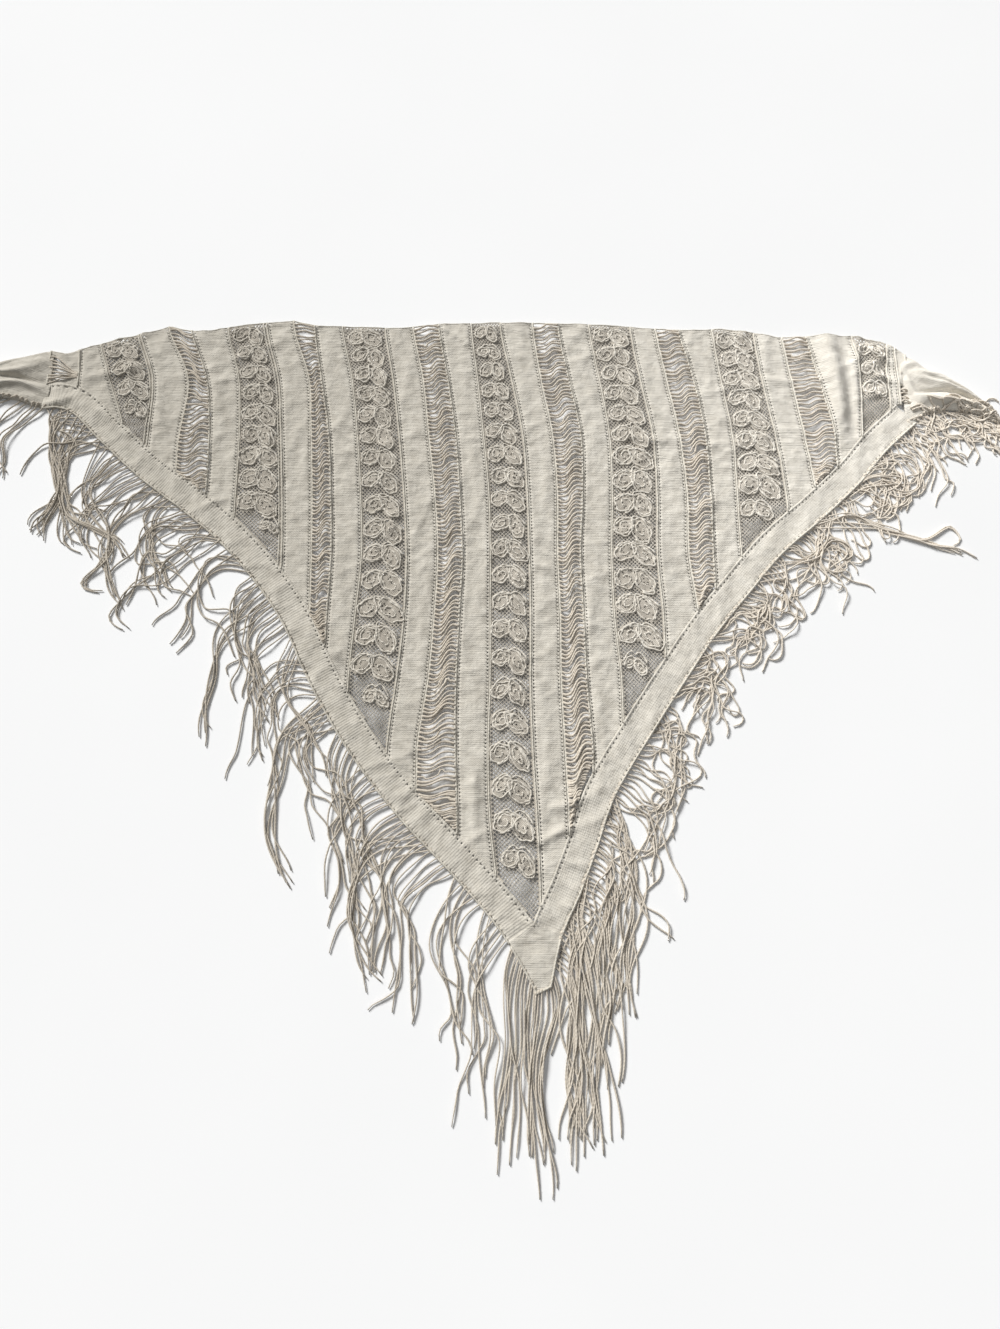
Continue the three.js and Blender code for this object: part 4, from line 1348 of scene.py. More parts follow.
@dataclass
class LadderBand(Band):
    """Loose rungs of yarn between two rails, where the stitches were let down."""

    pitch: float = 5.35
    thick: float = 1.28
    stations: int = 19
    steep: float = 6.5
    inset: float = 1.4
    bunch: float = 1.7
    bunch_rungs: float = 6.3
    fan_y: float = 386.0
    fan_squeeze: float = 0.86
    clear_of_border: float = 0.4
    clear_of_neck: float = 2.6
    lowest_lift: float = 1.7
    loose_lift: float = 2.2
    rail_in: float = 1.35
    rail_radius: float = 1.45
    rail_lift: float = 1.5
    sag: float = 1.3
    wander: float = 0.8
    ply: float = 0.08
    ply_length: float = 9.0

    def sway(self, y: Array, what: str) -> Array:
        """The rise or bow at a height, worked out between the table's rows."""
        rows = sorted(SWAYS[self.name], key=lambda row: row.y)
        return np.interp(y, [row.y for row in rows], [getattr(row, what) for row in rows])

    def fanned(self, y: Array, s: Array) -> Array:
        """The left end's rungs drawn together to the right, towards one height; others stay."""
        if self.name != "ladder_0":
            return y
        return y + (self.fan_y - y) * self.fan_squeeze * smooth_step(0.02, 1, s)

    def rung(self, k: int, level: float, s: Array, draw: np.random.Generator) -> tuple[Array, Array]:
        """One rung rises across the band by an S, dips by a sine, and parts round the eyes.

        The S is a hyperbolic tangent of the share across. A few rungs in turn close up in the
        middle by a sine of their number. An eye moves a rung away from its middle by its push,
        less with distance.

        Args:
            k: The rung's number.
            level: Its height y.
            s: The shares across the rung.
            draw: Random numbers.

        Returns:
            Its path and its radius at each share.
        """
        edge = (self.x(0, self.inset, level), self.x(1, -self.inset, level))
        inside = self.cut.floor(mix(*edge, s)) + 1.5 < level
        start, stop = (s[inside][0], s[inside][-1]) if inside.sum() > 2 else (0.0, 0.0)
        share = mix(start, stop, s)
        rise, bow = self.sway(level, "rise"), self.sway(level, "bow")
        climb = np.tanh(self.steep * (s - 0.5)) / math.tanh(self.steep / 2)
        lean = draw.uniform(-1, 1)
        y = level + (stop - start) * (rise * 0.5 * climb - bow * np.sin(TURN * s))
        y = y + self.sag * lean * np.sin(np.pi * s) * np.sin(np.pi * (s + 0.3 * lean))
        y = y + self.bunch * np.sin(TURN * k / self.bunch_rungs + level / 60) * np.sin(np.pi * s) ** 2
        y = self.fanned(y, s) + draw.uniform(-self.wander, self.wander)
        x = self.x(share, mix(self.inset, -self.inset, share), y)
        for eye in EYES.get(self.name, ()):
            off = y - eye.y - 0.35 * (x - eye.x) * np.sign(rise)
            near = np.exp(-(((x - eye.x) / eye.half) ** 2) * 2)
            near = near * np.clip(1 - np.abs(off) / eye.reach, 0, 1) ** 2
            y = y + np.sign(off) * eye.push * near * np.sin(np.pi * s) ** 0.5
        y = np.clip(y, self.cut.floor(x) + self.clear_of_border, self.cut.neck(x) - self.clear_of_neck)
        lift = self.lowest_lift + self.loose_lift * draw.uniform(0, 1) * np.sin(np.pi * s) ** 2
        radius = self.thick * draw.uniform(0.74, 1.22) * (1 + 0.14 * np.cos(TURN * s + lean))
        return lay(x, y, lift), np.where(stop > start, radius, 0.0)

    def rungs(self) -> Patch:
        """Every rung that fits between the neck edge and the border, as a twisted cord."""
        top = float(self.cut.neck((self.left.places[0] + self.right.places[0]) / 2)) - 4.5
        levels = np.arange(top, float(self.cut.meet[1]), -self.pitch)
        levels = levels[levels < COVERED.get(self.name, HIGHEST_Y)]
        ends = np.maximum(self.cut.floor(self.x(0, 0, levels)), self.cut.floor(self.x(1, 0, levels)))
        between = levels[ends > levels] - self.pitch / 2
        levels = np.sort(np.concatenate([levels, between]))[::-1]
        draw = np.random.default_rng(self.count_from_left * 17 + 5)
        s = np.linspace(0, 1, self.stations)
        made = [self.rung(k, level, s, draw) for k, level in enumerate(levels)]
        paths, radii = zip(*((path, radius) for path, radius in made if radius.max() > 0))
        return tubes(np.array(paths), np.array(radii), 6, self.ply, self.ply_length)

    def gussets(self) -> list[Patch]:
        """Cloth over the rungs: above and below the left end's fan, and over the right end's top."""
        if self.name not in ("ladder_0", "ladder_7"):
            return []
        s, v = np.meshgrid(np.linspace(0.04, 1, 14), np.linspace(0, 1, 16))
        x = self.x(s, 0, np.full(s.shape, 400.0))
        floor, neck = self.cut.floor(x), self.cut.neck(x)
        strips = [(floor, self.fanned(floor + 3, s)), (self.fanned(neck - 4, s), neck)]
        if self.name == "ladder_7":
            strips = [(np.full(s.shape, COVERED[self.name]) + 5 * np.sin(5 * s), neck)]
        patches = []
        for low, high in strips:
            y = mix(low, np.maximum(high, low + 0.5), v)
            quads = cells(np.arange(s.size).reshape(s.shape))[..., [0, 3, 2, 1]]
            uv = np.stack([x - x.min(), y], axis=-1).reshape(-1, 2)
            points = lay(x, y, FABRIC + 0.4).reshape(-1, 3)
            patches.append(Patch.of_faces(points, quads.reshape(-1, 4), uv).thickened(FABRIC))
        return patches

    def build(self) -> Piece:
        """The rungs, the two rails and the neck roll."""
        rails = self.both_chains(self.rail_in, self.rail_radius, self.rail_lift)
        edges = joined(rails + [self.neck_roll()])
        layers = [(self.rungs(), self.finishes.rung), (edges, self.finishes.chain)]
        layers += [(gusset, self.finishes.plain) for gusset in self.gussets()]
        piece = finished(f"{self.name}_rungs", layers)
        share = np.linspace(0, 1, 5)
        x, y, held = self.courses(share, np.zeros(5), (6.0,))
        quads = cells(held * 5 + np.arange(5)).reshape(-1, 4)
        full = Patch.of_faces(lay(x, y).reshape(-1, 3), quads, np.zeros((x.size, 2)))
        self.declare(piece, full, x, y)
        return piece


BAND_CLASSES = {Kind.PLAIN: PlainBand, Kind.LACE: LaceBand, Kind.LADDER: LadderBand}


@dataclass
class Border:
    """The knitted border along both lower edges, with eyelets along its sides, and the blunt tip."""

    cut: Cut
    finishes: Finishes
    offsets: tuple[float, ...] = (
        0, 1.4, 3.0, 6.5, 10, 14, 18, 22, 26, 28.6, 31.0, 32.6, BORDER_WIDTH, 35.7
    )
    lap_lift: float = 0.55
    edge_in: float = 0.9
    edge_lift: float = 1.6
    edge_radius: float = 1.3
    edge_step: float = 3.2
    eyelet_rows: tuple[float, ...] = (2.3, 2.2, 1.8)
    tip_columns: int = 20
    tip_step: float = 2.6
    overlap: float = 4.0
    tuck: float = 0.4
    tip_lift: float = 1.55
    tip_sag: float = 5.0

    def strip(self, line: Array) -> tuple[Patch, Patch]:
        """A shell of even width beside a line: the line plus its normal times each offset.

        The inner edge rises by a soft step, so that it lies over the ends of the bands.

        Returns:
            The shell and the same patch with no eyelets and no thickness.
        """
        offset = np.array(self.offsets)
        total = along_line(line)[-1]
        steps = np.resize(self.eyelet_rows, int(total / np.mean(self.eyelet_rows)))
        runs = np.concatenate([[0], np.cumsum(steps) * total / steps.sum()])
        line = read_line(line, runs)
        flat = line[:, None] + left_of(line)[:, None] * offset[None, :, None]
        rows, count = flat.shape[:2]
        number = np.arange(rows * count).reshape(rows, count)
        quads = cells(number)
        column, row = np.meshgrid(np.arange(count - 1), np.arange(rows - 1))
        eyelet = ((column == 1) | (column == count - 4)) & (row % 3 == 2) & (row > 1) & (row < rows - 3)
        lift = self.lap_lift * smooth_step(self.offsets[-3], BORDER_WIDTH, offset)
        points = lay(flat[..., 0], flat[..., 1], FABRIC + lift).reshape(-1, 3)
        run = np.broadcast_to(along_line(line)[:, None], (rows, count))
        uv = np.stack([np.broadcast_to(offset, (rows, count)), run], axis=-1).reshape(-1, 2)
        full = Patch.of_faces(points, quads.reshape(-1, 4), uv)
        return Patch.of_faces(points, quads[~eyelet], uv).thickened(FABRIC), full

    def edge_cord(self, line: Array) -> Patch:
        """The beaded outer edge along a line."""
        return beaded(lay(*(line + left_of(line) * self.edge_in).T, self.edge_lift), self.edge_radius)

    def dress(
        self, name: str, cloth: Patch, material: Material, edge: Array, fringe: Piece,
        flat: tuple[float, float], area: float,
    ) -> Piece:
        """A stretch of the border with its outer cord, whose cut size is logged.

        Args:
            name: The node that it stands for.
            cloth: Its shell.
            material: The shell's material.
            edge: Its outer line.
            fringe: What hangs on it.
            flat: Its flat width and length in millimetres.
            area: Its flat area in square metres.

        Returns:
            The piece.
        """
        layers = [(cloth, material), (self.edge_cord(edge), self.finishes.chain)]
        piece = finished(f"{name}_knit", layers)
        wear(piece, name)
        spread(piece, (flat[0] * METRE, flat[1] * METRE), area, [fringe])
        return piece

    def side(self, name: str, line: Array, fringe: Piece) -> Piece:
        """One long side of the border, with the fringe that hangs on it."""
        cloth, full = self.strip(line)
        flat = (BORDER_WIDTH, along_line(line)[-1])
        return self.dress(name, cloth, self.finishes.border, line, fringe, flat, full.area())

    def tip(self, fringe: Piece) -> Piece:
        """The kite under the V: straight rows of knitting from one outer edge to the other.

        Its upper sides lie a little under both ends of the border.
        """
        top = self.cut.meet + (0, self.overlap)
        left = np.vstack([[top], self.cut.left[self.cut.left_foot - 1 :] + (self.tuck, 0)])
        right = np.vstack([[top], self.cut.right[: self.cut.right_foot + 2][::-1] - (self.tuck, 0)])
        t = np.linspace(0, 1, int(along_line(left)[-1] / self.tip_step))
        s = np.linspace(0, 1, self.tip_columns)
        a, b = (read_line(line, t * along_line(line)[-1])[:, None] for line in (left, right))
        flat = mix(a, b, s[None, :, None])
        flat[..., 1] -= self.tip_sag * np.sin(np.pi * s) * np.sin(np.pi * t)[:, None]
        rows, columns = flat.shape[:2]
        number = np.arange(rows * columns).reshape(rows, columns)
        number[0] = 0
        quads = cells(number)
        points = lay(flat[..., 0], flat[..., 1], self.tip_lift).reshape(-1, 3)
        full = Patch.of_faces(points, quads.reshape(-1, 4), flat.reshape(-1, 2))
        edge = even_line(np.vstack([left[3:], right[::-1][:-3]]), self.edge_step)
        cloth, size = full.thickened(FABRIC), np.ptp(flat, axis=(0, 1))
        return self.dress("tip", cloth, self.finishes.plain, edge, fringe, tuple(size), full.area())


@dataclass
class Tail:
    """A gathered end of the shawl: soft folds along it over hidden layers, flat underneath."""

    name: str
    rows: tuple[tuple[float, float, float, float], ...]
    finishes: Finishes
    folds: tuple[tuple[float, float, float], ...]
    ridges: tuple[Crease, ...]
    step: float = 2.6
    around: int = 46
    wall: float = 0.9
    gathered: float = 1.25
    gathered_area: float = 1.15
    closed_over: float = 9.0

    def section(self, share: Array, run: Array) -> Array:
        """The height share over a cross-section: a round shoulder at both sides, with fold bells.

        Args:
            share: 0 at the low side and 1 at the high side.
            run: Millimetres along the tail from its left end.

        Returns:
            The share of the tail's rise.
        """
        shoulder = np.clip(np.sin(np.pi * np.clip(share, 0, 1)), 0, 1) ** 0.35
        wave = np.zeros(np.broadcast(share, run).shape)
        for k, (place, width, depth) in enumerate(self.folds):
            drift = place + 0.07 * np.sin(run / 21 + k * 2.1) + 0.0008 * (k - 2) * (run - 60)
            wave = wave + depth * np.exp(-(((share - drift) / width) ** 2))
        return shoulder * np.clip(0.62 + wave, 0.25, 1.15)

    def profile(self, x: Array) -> tuple[Array, Array, Array]:
        """The low side, the high side and the rise at x, drawn together at the free end."""
        rows = np.array(self.rows, float)
        even = np.linspace(rows[0, 0], rows[-1, 0], 80)
        columns = [np.pad(np.interp(even, rows[:, 0], rows[:, k]), 4, mode="edge") for k in (1, 2, 3)]
        columns = [np.convolve(column, np.ones(9) / 9, "valid") for column in columns]
        low, high, rise = (np.interp(x, even, column) for column in columns)
        far = x - rows[0, 0] if self.name == "tail_left" else rows[-1, 0] - x
        closing = np.clip(far / self.closed_over, 0.02, 1) ** 0.5
        middle = (low + high) / 2
        return mix(middle, low, closing), mix(middle, high, closing), rise * closing

    def height(self, x: Array, y: Array) -> Array:
        """How high the tail's top is at any place of the cut, and 0 beside the tail."""
        low, high, rise = self.profile(x)
        share = (y - low) / (high - low)
        on = (share > 0) & (share < 1) & (x > self.rows[0][0]) & (x < self.rows[-1][0])
        top = rise * self.section(share, x - self.rows[0][0]) + self.ridged(x, y, share)
        return np.where(on, CLOTH_LOW + self.wall + top, 0)

    def ridged(self, x: Array, y: Array, share: Array) -> Array:
        """The placed ridges' height, which falls to nothing at both sides of the tail."""
        shoulder = np.clip(np.sin(np.pi * np.clip(share, 0, 1)), 0, 1) ** 0.5
        return shoulder * sum(ridge.height(x, y) for ridge in self.ridges)

    def shell(self) -> Patch:
        """A closed tube of cross-sections: over the top from the low side, and back underneath."""
        run = np.append(np.arange(self.rows[0][0], self.rows[-1][0], self.step), self.rows[-1][0])
        low, high, rise = self.profile(run)
        share = np.linspace(0, 1, self.around)
        up = self.section(share[None], (run - run[0])[:, None])
        y = mix(low[:, None], high[:, None], share[None])
        z = CLOTH_LOW + self.wall + rise[:, None] * up + self.ridged(run[:, None], y, share[None])
        pucker = 0.5 * np.sin(y / 2.1 + run[:, None] / 9) * np.sin(run[:, None] / 5.3 + share * 9)
        along = np.broadcast_to(run[:, None], y.shape)
        top = np.stack([along, y, z + pucker * up], axis=-1)
        under_y = y[:, ::-1][:, 1:-1]
        under = np.stack([along[:, 1:-1], under_y, np.full(under_y.shape, CLOTH_LOW)], axis=-1)
        ring = np.concatenate([top, under], axis=1)
        count, sides = ring.shape[:2]
        number = np.arange(count * sides).reshape(count, sides)
        turned = np.roll(number, -1, axis=1)
        quads = cells(np.hstack([number, number[:, :1]])).reshape(-1, 4)
        across = np.concatenate([y - low[:, None], under_y - low[:, None]], axis=1)
        uv = np.stack([np.broadcast_to(run[:, None], across.shape), across], axis=-1).reshape(-1, 2)
        points = np.vstack([ring.reshape(-1, 3), ring[0].mean(0), ring[-1].mean(0)])
        uv = np.vstack([uv, uv[0], uv[-1]])
        first, last = len(points) - 2, len(points) - 1
        near = np.stack([number[0], turned[0], np.full(sides, first)], axis=1)
        end = np.stack([turned[-1], number[-1], np.full(sides, last)], axis=1)
        return Patch.of_faces(points, quads[:, ::-1], uv, np.vstack([near[:, ::-1], end[:, ::-1]]))

    def build(self, fringe: Piece) -> Piece:
        """The tail's shell as a piece, whose gathered cut size is logged."""
        shell = self.shell()
        piece = finished(f"{self.name}_knit", [(shell, self.finishes.plain)])
        wear(piece, self.name)
        x, low, high, _ = np.array(self.rows, float).T
        flat = (float((high - low).max()) * METRE * self.gathered, (x[-1] - x[0]) * METRE)
        spread(piece, flat, shell.area() / 2 * self.gathered_area, [fringe], "gathered")
        return piece


# The fringe


@dataclass(frozen=True)
class Fall:
    """How strands fall at a place along an edge, as a share of its length.

    start and end are directions in degrees from +x, length is in millimetres, curl is the size of
    a strand's bends in degrees, lock is how tightly a group of strands clings together, kink is
    how sharp its single bends are, scatter is how far the groups' directions differ in degrees, and
    settle is the share of the length over which a strand turns from start to end.
    """

    place: float
    start: float
    end: float
    length: float
    curl: float
    lock: float
    kink: float
    scatter: float = 0.0
    settle: float = 0.85


@dataclass(frozen=True)
class Lock:
    """A listed lock: strands from a stretch of the edge through guide points.

    Each guide is x, y and the half width over which the strands are spread there.
    """

    start: float
    stop: float
    count: int
    guides: tuple[tuple[float, float, float], ...]
    wave: float = 3.0


@dataclass
class Fringe:
    """Twisted strands along one edge."""

    name: str
    edge: Array
    finishes: Finishes
    falls: tuple[Fall, ...]
    pitch: float
    seed: int
    locks: tuple[Lock, ...] = ()
    bare: tuple[tuple[float, float], ...] = ()
    points: int = 30
    thick: float = 1.02
    under: Callable[[Array, Array], Array] | None = None
    root_depth: float = 0.0
    low: tuple[float, float] = (-800.0, -590.0)
    high: tuple[float, float] = (700.0, 480.0)
    knot_length: float = 2.4
    knot_radius: float = 2.1
    knot_lift: float = 2.2
    strand_lift: float = 0.35
    root_rise: float = 1.1
    tail_gap: float = 1.3
    ply: float = 0.12
    ply_length: float = 8.5

    def fall(self, share: Array, what: str) -> Array:
        """One column of the table, worked out between its rows, with a row for each strand."""
        rows = self.falls
        return np.interp(share, [row.place for row in rows], [getattr(row, what) for row in rows])[:, None]

    def free_strands(self) -> Array:
        """Strands whose direction bends from start to end and swings by two sines.

        The direction is start plus the turn times a soft step along the strand, plus the curl
        times two sines whose phases a group shares, plus a bend that comes and goes. Places are the
        running sum of the steps, and a group's strands are drawn towards their mean past the root.

        Returns:
            Flat places, shaped strands, points, 2.
        """
        total = along_line(self.edge)[-1]
        count = int(total / self.pitch)
        draw, own = np.random.default_rng(self.seed), np.random.default_rng(self.seed + 5)
        along = (np.arange(count) + 0.5 + draw.uniform(-0.3, 0.3, count)) * total / count
        share = along / total
        keep = np.ones(count, bool)
        for start, stop in self.bare:
            keep &= ~((share > start) & (share < stop))
        along, share = along[keep], share[keep]
        count = len(along)
        root = read_line(self.edge, along)[:, :2]
        root[:, 1] += draw.uniform(-0.5, 0.5, count) * self.root_depth
        group = np.cumsum(draw.uniform(0, 1, count) < 0.3)
        groups = group.max() + 1
        u = np.linspace(0, 1, self.points)[None]
        turn = self.fall(share, "end") - self.fall(share, "start")
        curl = self.fall(share, "curl") * draw.uniform(0.55, 1.35, (count, 1))
        shared = np.random.default_rng(self.seed + 1).uniform(0, TURN, (groups, 2))[group]
        phase = shared + draw.normal(0, 0.55, (count, 2))
        beat = draw.uniform(0.7, 1.25, (count, 1))
        swing = np.sin(TURN * beat * u * 1.1 + phase[:, :1])
        swing = swing + 0.55 * np.sin(TURN * beat * u * 2.6 + phase[:, 1:])
        apart = own.normal(0, 1, (groups, 2))[group] * self.fall(share, "scatter")
        settle = self.fall(share, "settle")
        early = own.uniform(-0.35, 0.2, (groups, 1))[group] * settle
        late = own.uniform(0.7, 1.3, (groups, 1))[group] * settle
        angle = self.fall(share, "start") + turn * smooth_step(early, late, u)
        angle = angle + mix(apart[:, :1], apart[:, 1:], u) + curl * swing * smooth_step(0, 0.25, u)
        bend = draw.uniform(25, 75, (count, 1)) * draw.choice((-1, 1), (count, 1))
        at = draw.uniform(0.3, 0.85, (count, 1))
        back = at + draw.uniform(0.08, 0.22, (count, 1))
        bent = smooth_step(-0.02, 0.02, u - at) - smooth_step(-0.03, 0.03, u - back)
        angle = angle + self.fall(share, "kink") * bend * bent
        length = self.fall(share, "length") * draw.uniform(0.78, 1.12, (count, 1))
        step = length / (self.points - 1)
        way = np.radians((angle[:, 1:] + angle[:, :-1]) / 2)
        moves = np.stack([np.cos(way), np.sin(way)], axis=-1) * step[..., None]
        line = root[:, None] + np.concatenate([np.zeros((count, 1, 2)), np.cumsum(moves, axis=1)], axis=1)
        sums = np.zeros((groups, self.points, 2))
        np.add.at(sums, group, line)
        mean = (sums / np.maximum(np.bincount(group, minlength=groups), 1)[:, None, None])[group]
        pull = self.fall(share, "lock") * draw.uniform(0.5, 1.0, (groups, 1))[group]
        pull = pull * smooth_step(0.12, 0.5, u) * (1 - 0.75 * smooth_step(0.6, 1.0, u))
        return mix(line, mean, pull[..., None])

    def placed_strands(self) -> Array:
        """The listed locks: each strand follows the guides at its own place across the lock."""
        total = along_line(self.edge)[-1]
        draw = np.random.default_rng(self.seed + 2)
        lines = []
        for lock in self.locks:
            for k in range(lock.count):
                share = mix(lock.start, lock.stop, (k + 0.5) / lock.count)
                root = read_line(self.edge, np.array([share * total]))[0, :2]
                slots = draw.permutation(np.linspace(-1, 1, max(2, len(lock.guides))))
                own = mix(-1, 1, (k + 0.5) / lock.count)
                spine = np.array([g[:2] for g in lock.guides], float)
                side = left_of(np.vstack([root, spine]))[1:]
                width = np.array([g[2] for g in lock.guides])[:, None]
                place = 0.65 * own + 0.5 * slots[: len(lock.guides), None]
                guides = spine + side * width * place
                line = smooth_line(np.vstack([root, guides]), 3.0)
                run = along_line(line)
                line = read_line(line, np.linspace(0, run[-1] * draw.uniform(0.88, 1.0), self.points))
                u = np.linspace(0, 1, self.points)[:, None]
                wobble = lock.wave * np.sin(TURN * (u * draw.uniform(1.2, 2.4) + draw.uniform()))
                lines.append(line + left_of(line) * wobble * smooth_step(0, 0.3, u))
        return np.array(lines).reshape(-1, self.points, 2)

    def build(self) -> Piece:
        """All strands as two-ply tubes that cross over each other, with a small knot at each root."""
        flat = np.concatenate([self.free_strands(), self.placed_strands()])
        flat = np.clip(flat, self.low, self.high)
        draw = np.random.default_rng(self.seed + 3)
        count = len(flat)
        u = np.linspace(0, 1, self.points)[None]
        wave = np.sin(TURN * (u * draw.uniform(1.0, 3.2, (count, 1)) + draw.uniform(0, 1, (count, 1))))
        lift = draw.uniform(0.3, 3.6, (count, 1)) * (0.5 + 0.5 * wave)
        lift = lift * np.clip(np.sin(np.pi * u), 0, 1) ** 0.5
        z = self.thick + self.strand_lift + lift + self.root_rise * np.clip(1 - u * 12, 0, 1)
        if self.under is not None:
            z = np.maximum(z, self.under(flat[..., 0], flat[..., 1]) + self.tail_gap + 0.5 * lift)
        taper = 1 - 0.35 * smooth_step(0.9, 1, u)
        radius = self.thick * draw.uniform(0.85, 1.12, (count, 1)) * taper
        paths = np.concatenate([flat, z[..., None]], axis=-1)
        layers = [(tubes(paths, radius, 5, self.ply, self.ply_length), self.finishes.fringe)]
        if self.root_depth == 0:
            layers.append((self.knots(paths), self.finishes.fringe))
        piece = finished(f"{self.name}_strands", layers)
        wear(piece, self.name)
        LOG.info("%s: %d strands", piece.name, count)
        return piece

    def knots(self, paths: Array) -> Patch:
        """A small ball at each strand's root: a short tube whose radius is a half circle's height."""
        roots = paths[:, 0]
        heading = paths[:, 2] - roots
        heading /= np.linalg.norm(heading, axis=1, keepdims=True)
        t = np.linspace(-1, 1, 6)[None, :, None]
        path = roots[:, None] + heading[:, None] * (t * self.knot_length + self.knot_length / 2)
        path[..., 2] = np.maximum(path[..., 2], self.knot_lift)
        radius = self.knot_radius * np.sqrt(np.clip(1.02 - t[..., 0] ** 2, 0.05, 1))
        return tubes(path, radius, 6)


LEFT_FALLS = tuple(Fall(*row) for row in (
    (0.0, 224, 268, 125, 14, 0.4, 0.6, 20), (0.1, 182, 296, 140, 20, 0.45, 0.9, 22, 0.95),
    (0.3, 178, 296, 156, 20, 0.45, 0.9, 20, 0.9), (0.5, 186, 284, 168, 18, 0.5, 0.9, 18, 0.8),
    (0.7, 200, 278, 180, 16, 0.5, 0.9, 15, 0.65), (0.9, 216, 272, 190, 13, 0.5, 0.8, 11, 0.5),
    (1.0, 236, 270, 200, 9, 0.5, 0.5, 8, 0.4),
))
LEFT_LOCKS = tuple(Lock(*row) for row in (
    (0.0, 0.1, 9, ((-575, 325, 16), (-560, 285, 20), (-557, 243, 6), (-555, 215, 7),
      (-572, 180, 16), (-575, 158, 20)), 4),
    (0.02, 0.12, 6, ((-560, 290, 18), (-553, 240, 6), (-548, 205, 7), (-530, 165, 14), (-524, 148, 16)), 4),
    (0.03, 0.13, 6, ((-556, 262, 14), (-538, 193, 5), (-505, 173, 4), (-479, 159, 4), (-457, 133, 6)), 2),
    (0.1, 0.16, 4, ((-520, 230, 8), (-484, 150, 6), (-509, 101, 5), (-486, 92, 5)), 3),
    (0.2, 0.25, 4, ((-470, 190, 8), (-490, 150, 8), (-480, 110, 8), (-462, 66, 12)), 4),
    (0.3, 0.35, 3, ((-420, 110, 8), (-452, 96, 5), (-470, 60, 5), (-440, 40, 5)), 3),
    (0.42, 0.47, 4, ((-330, 40, 10), (-345, -10, 8), (-350, -60, 8), (-340, -98, 12)), 4),
    (0.6, 0.66, 5, ((-250, -90, 10), (-262, -140, 8), (-262, -200, 8), (-238, -262, 12)), 4),
    (0.8, 0.86, 5, ((-152, -230, 12), (-168, -280, 8), (-150, -340, 8), (-132, -372, 12)), 4),
))
TIP_FALLS = tuple(Fall(*row) for row in (
    (0.0, 246, 269, 215, 8, 0.5, 0.4, 8, 0.3), (0.3, 258, 270, 205, 6, 0.55, 0.3, 6, 0.3),
    (0.5, 268, 270, 195, 5, 0.6, 0.2, 5, 0.3), (0.75, 310, 268, 210, 6, 0.6, 0.3, 6, 0.25),
    (1.0, 330, 268, 215, 7, 0.6, 0.4, 8, 0.25),
))
RIGHT_FALLS = tuple(Fall(*row) for row in (
    (0.0, 336, 269, 210, 8, 0.6, 0.3, 8, 0.3), (0.1, 344, 266, 185, 16, 0.5, 0.5, 12, 0.35),
    (0.2, 346, 262, 145, 36, 0.45, 0.6, 18, 0.6), (0.35, 348, 246, 124, 54, 0.4, 0.7, 24, 0.8),
    (0.5, 352, 232, 118, 62, 0.4, 0.7, 26), (0.7, 350, 236, 120, 64, 0.4, 0.7, 26),
    (0.85, 350, 246, 120, 60, 0.4, 0.7, 24), (1.0, 320, 250, 90, 46, 0.4, 0.6, 22),
))
RIGHT_LOCKS = tuple(Lock(*row) for row in (
    (0.72, 0.77, 5, ((440, 190, 7), (480, 173, 4), (534, 153, 4), (570, 144, 4), (586, 129, 6)), 1.5),
    (0.73, 0.76, 2, ((470, 176, 3), (525, 158, 3), (561, 177, 3), (572, 159, 3), (548, 146, 4)), 1.5),
    (0.93, 0.95, 1, ((543, 289, 1), (556, 262, 1), (563, 240, 1), (572, 236, 1), (565, 209, 1)), 1.5),
    (0.95, 0.97, 1, ((546, 287, 1), (558, 258, 1), (564, 238, 1), (552, 218, 1), (545, 197, 1)), 1.5),
    (0.84, 0.9, 5, ((505, 272, 9), (528, 256, 8), (526, 232, 8), (498, 226, 8), (486, 246, 8)), 4.0),
    (0.78, 0.84, 5, ((478, 240, 9), (506, 240, 8), (512, 214, 8), (484, 204, 8), (462, 214, 8)), 4.0),
    (0.6, 0.7, 6, ((380, 130, 10), (410, 160, 8), (432, 140, 8), (400, 112, 10)), 4.0),
    (0.0, 0.13, 15, ((90, -290, 22), (88, -340, 20), (88, -410, 20), (90, -470, 22), (92, -540, 26)), 3.0),
    (0.12, 0.22, 10, ((150, -235, 14), (146, -290, 14), (140, -350, 16), (138, -400, 20)), 5.0),
))
LEFT_TAIL_FALLS = tuple(Fall(*row) for row in (
    (0.0, 236, 262, 140, 18, 0.5, 0.5, 22), (0.5, 222, 258, 150, 20, 0.5, 0.6, 22),
    (1.0, 214, 254, 150, 20, 0.5, 0.6, 22),
))
RIGHT_TAIL_FALLS = tuple(Fall(*row) for row in (
    (0.0, 336, 330, 98, 40, 0.35, 0.7, 26), (0.4, 330, 316, 86, 44, 0.35, 0.7, 26),
    (0.75, 318, 300, 64, 44, 0.4, 0.7, 26), (1.0, 300, 280, 50, 44, 0.4, 0.7, 26),
))
# How far up each tail's side its strands start, as a share, and how far inside an edge the others do.
TAIL_ROOTS = (0.06, 0.02)
ROOT_INSET = 2.4


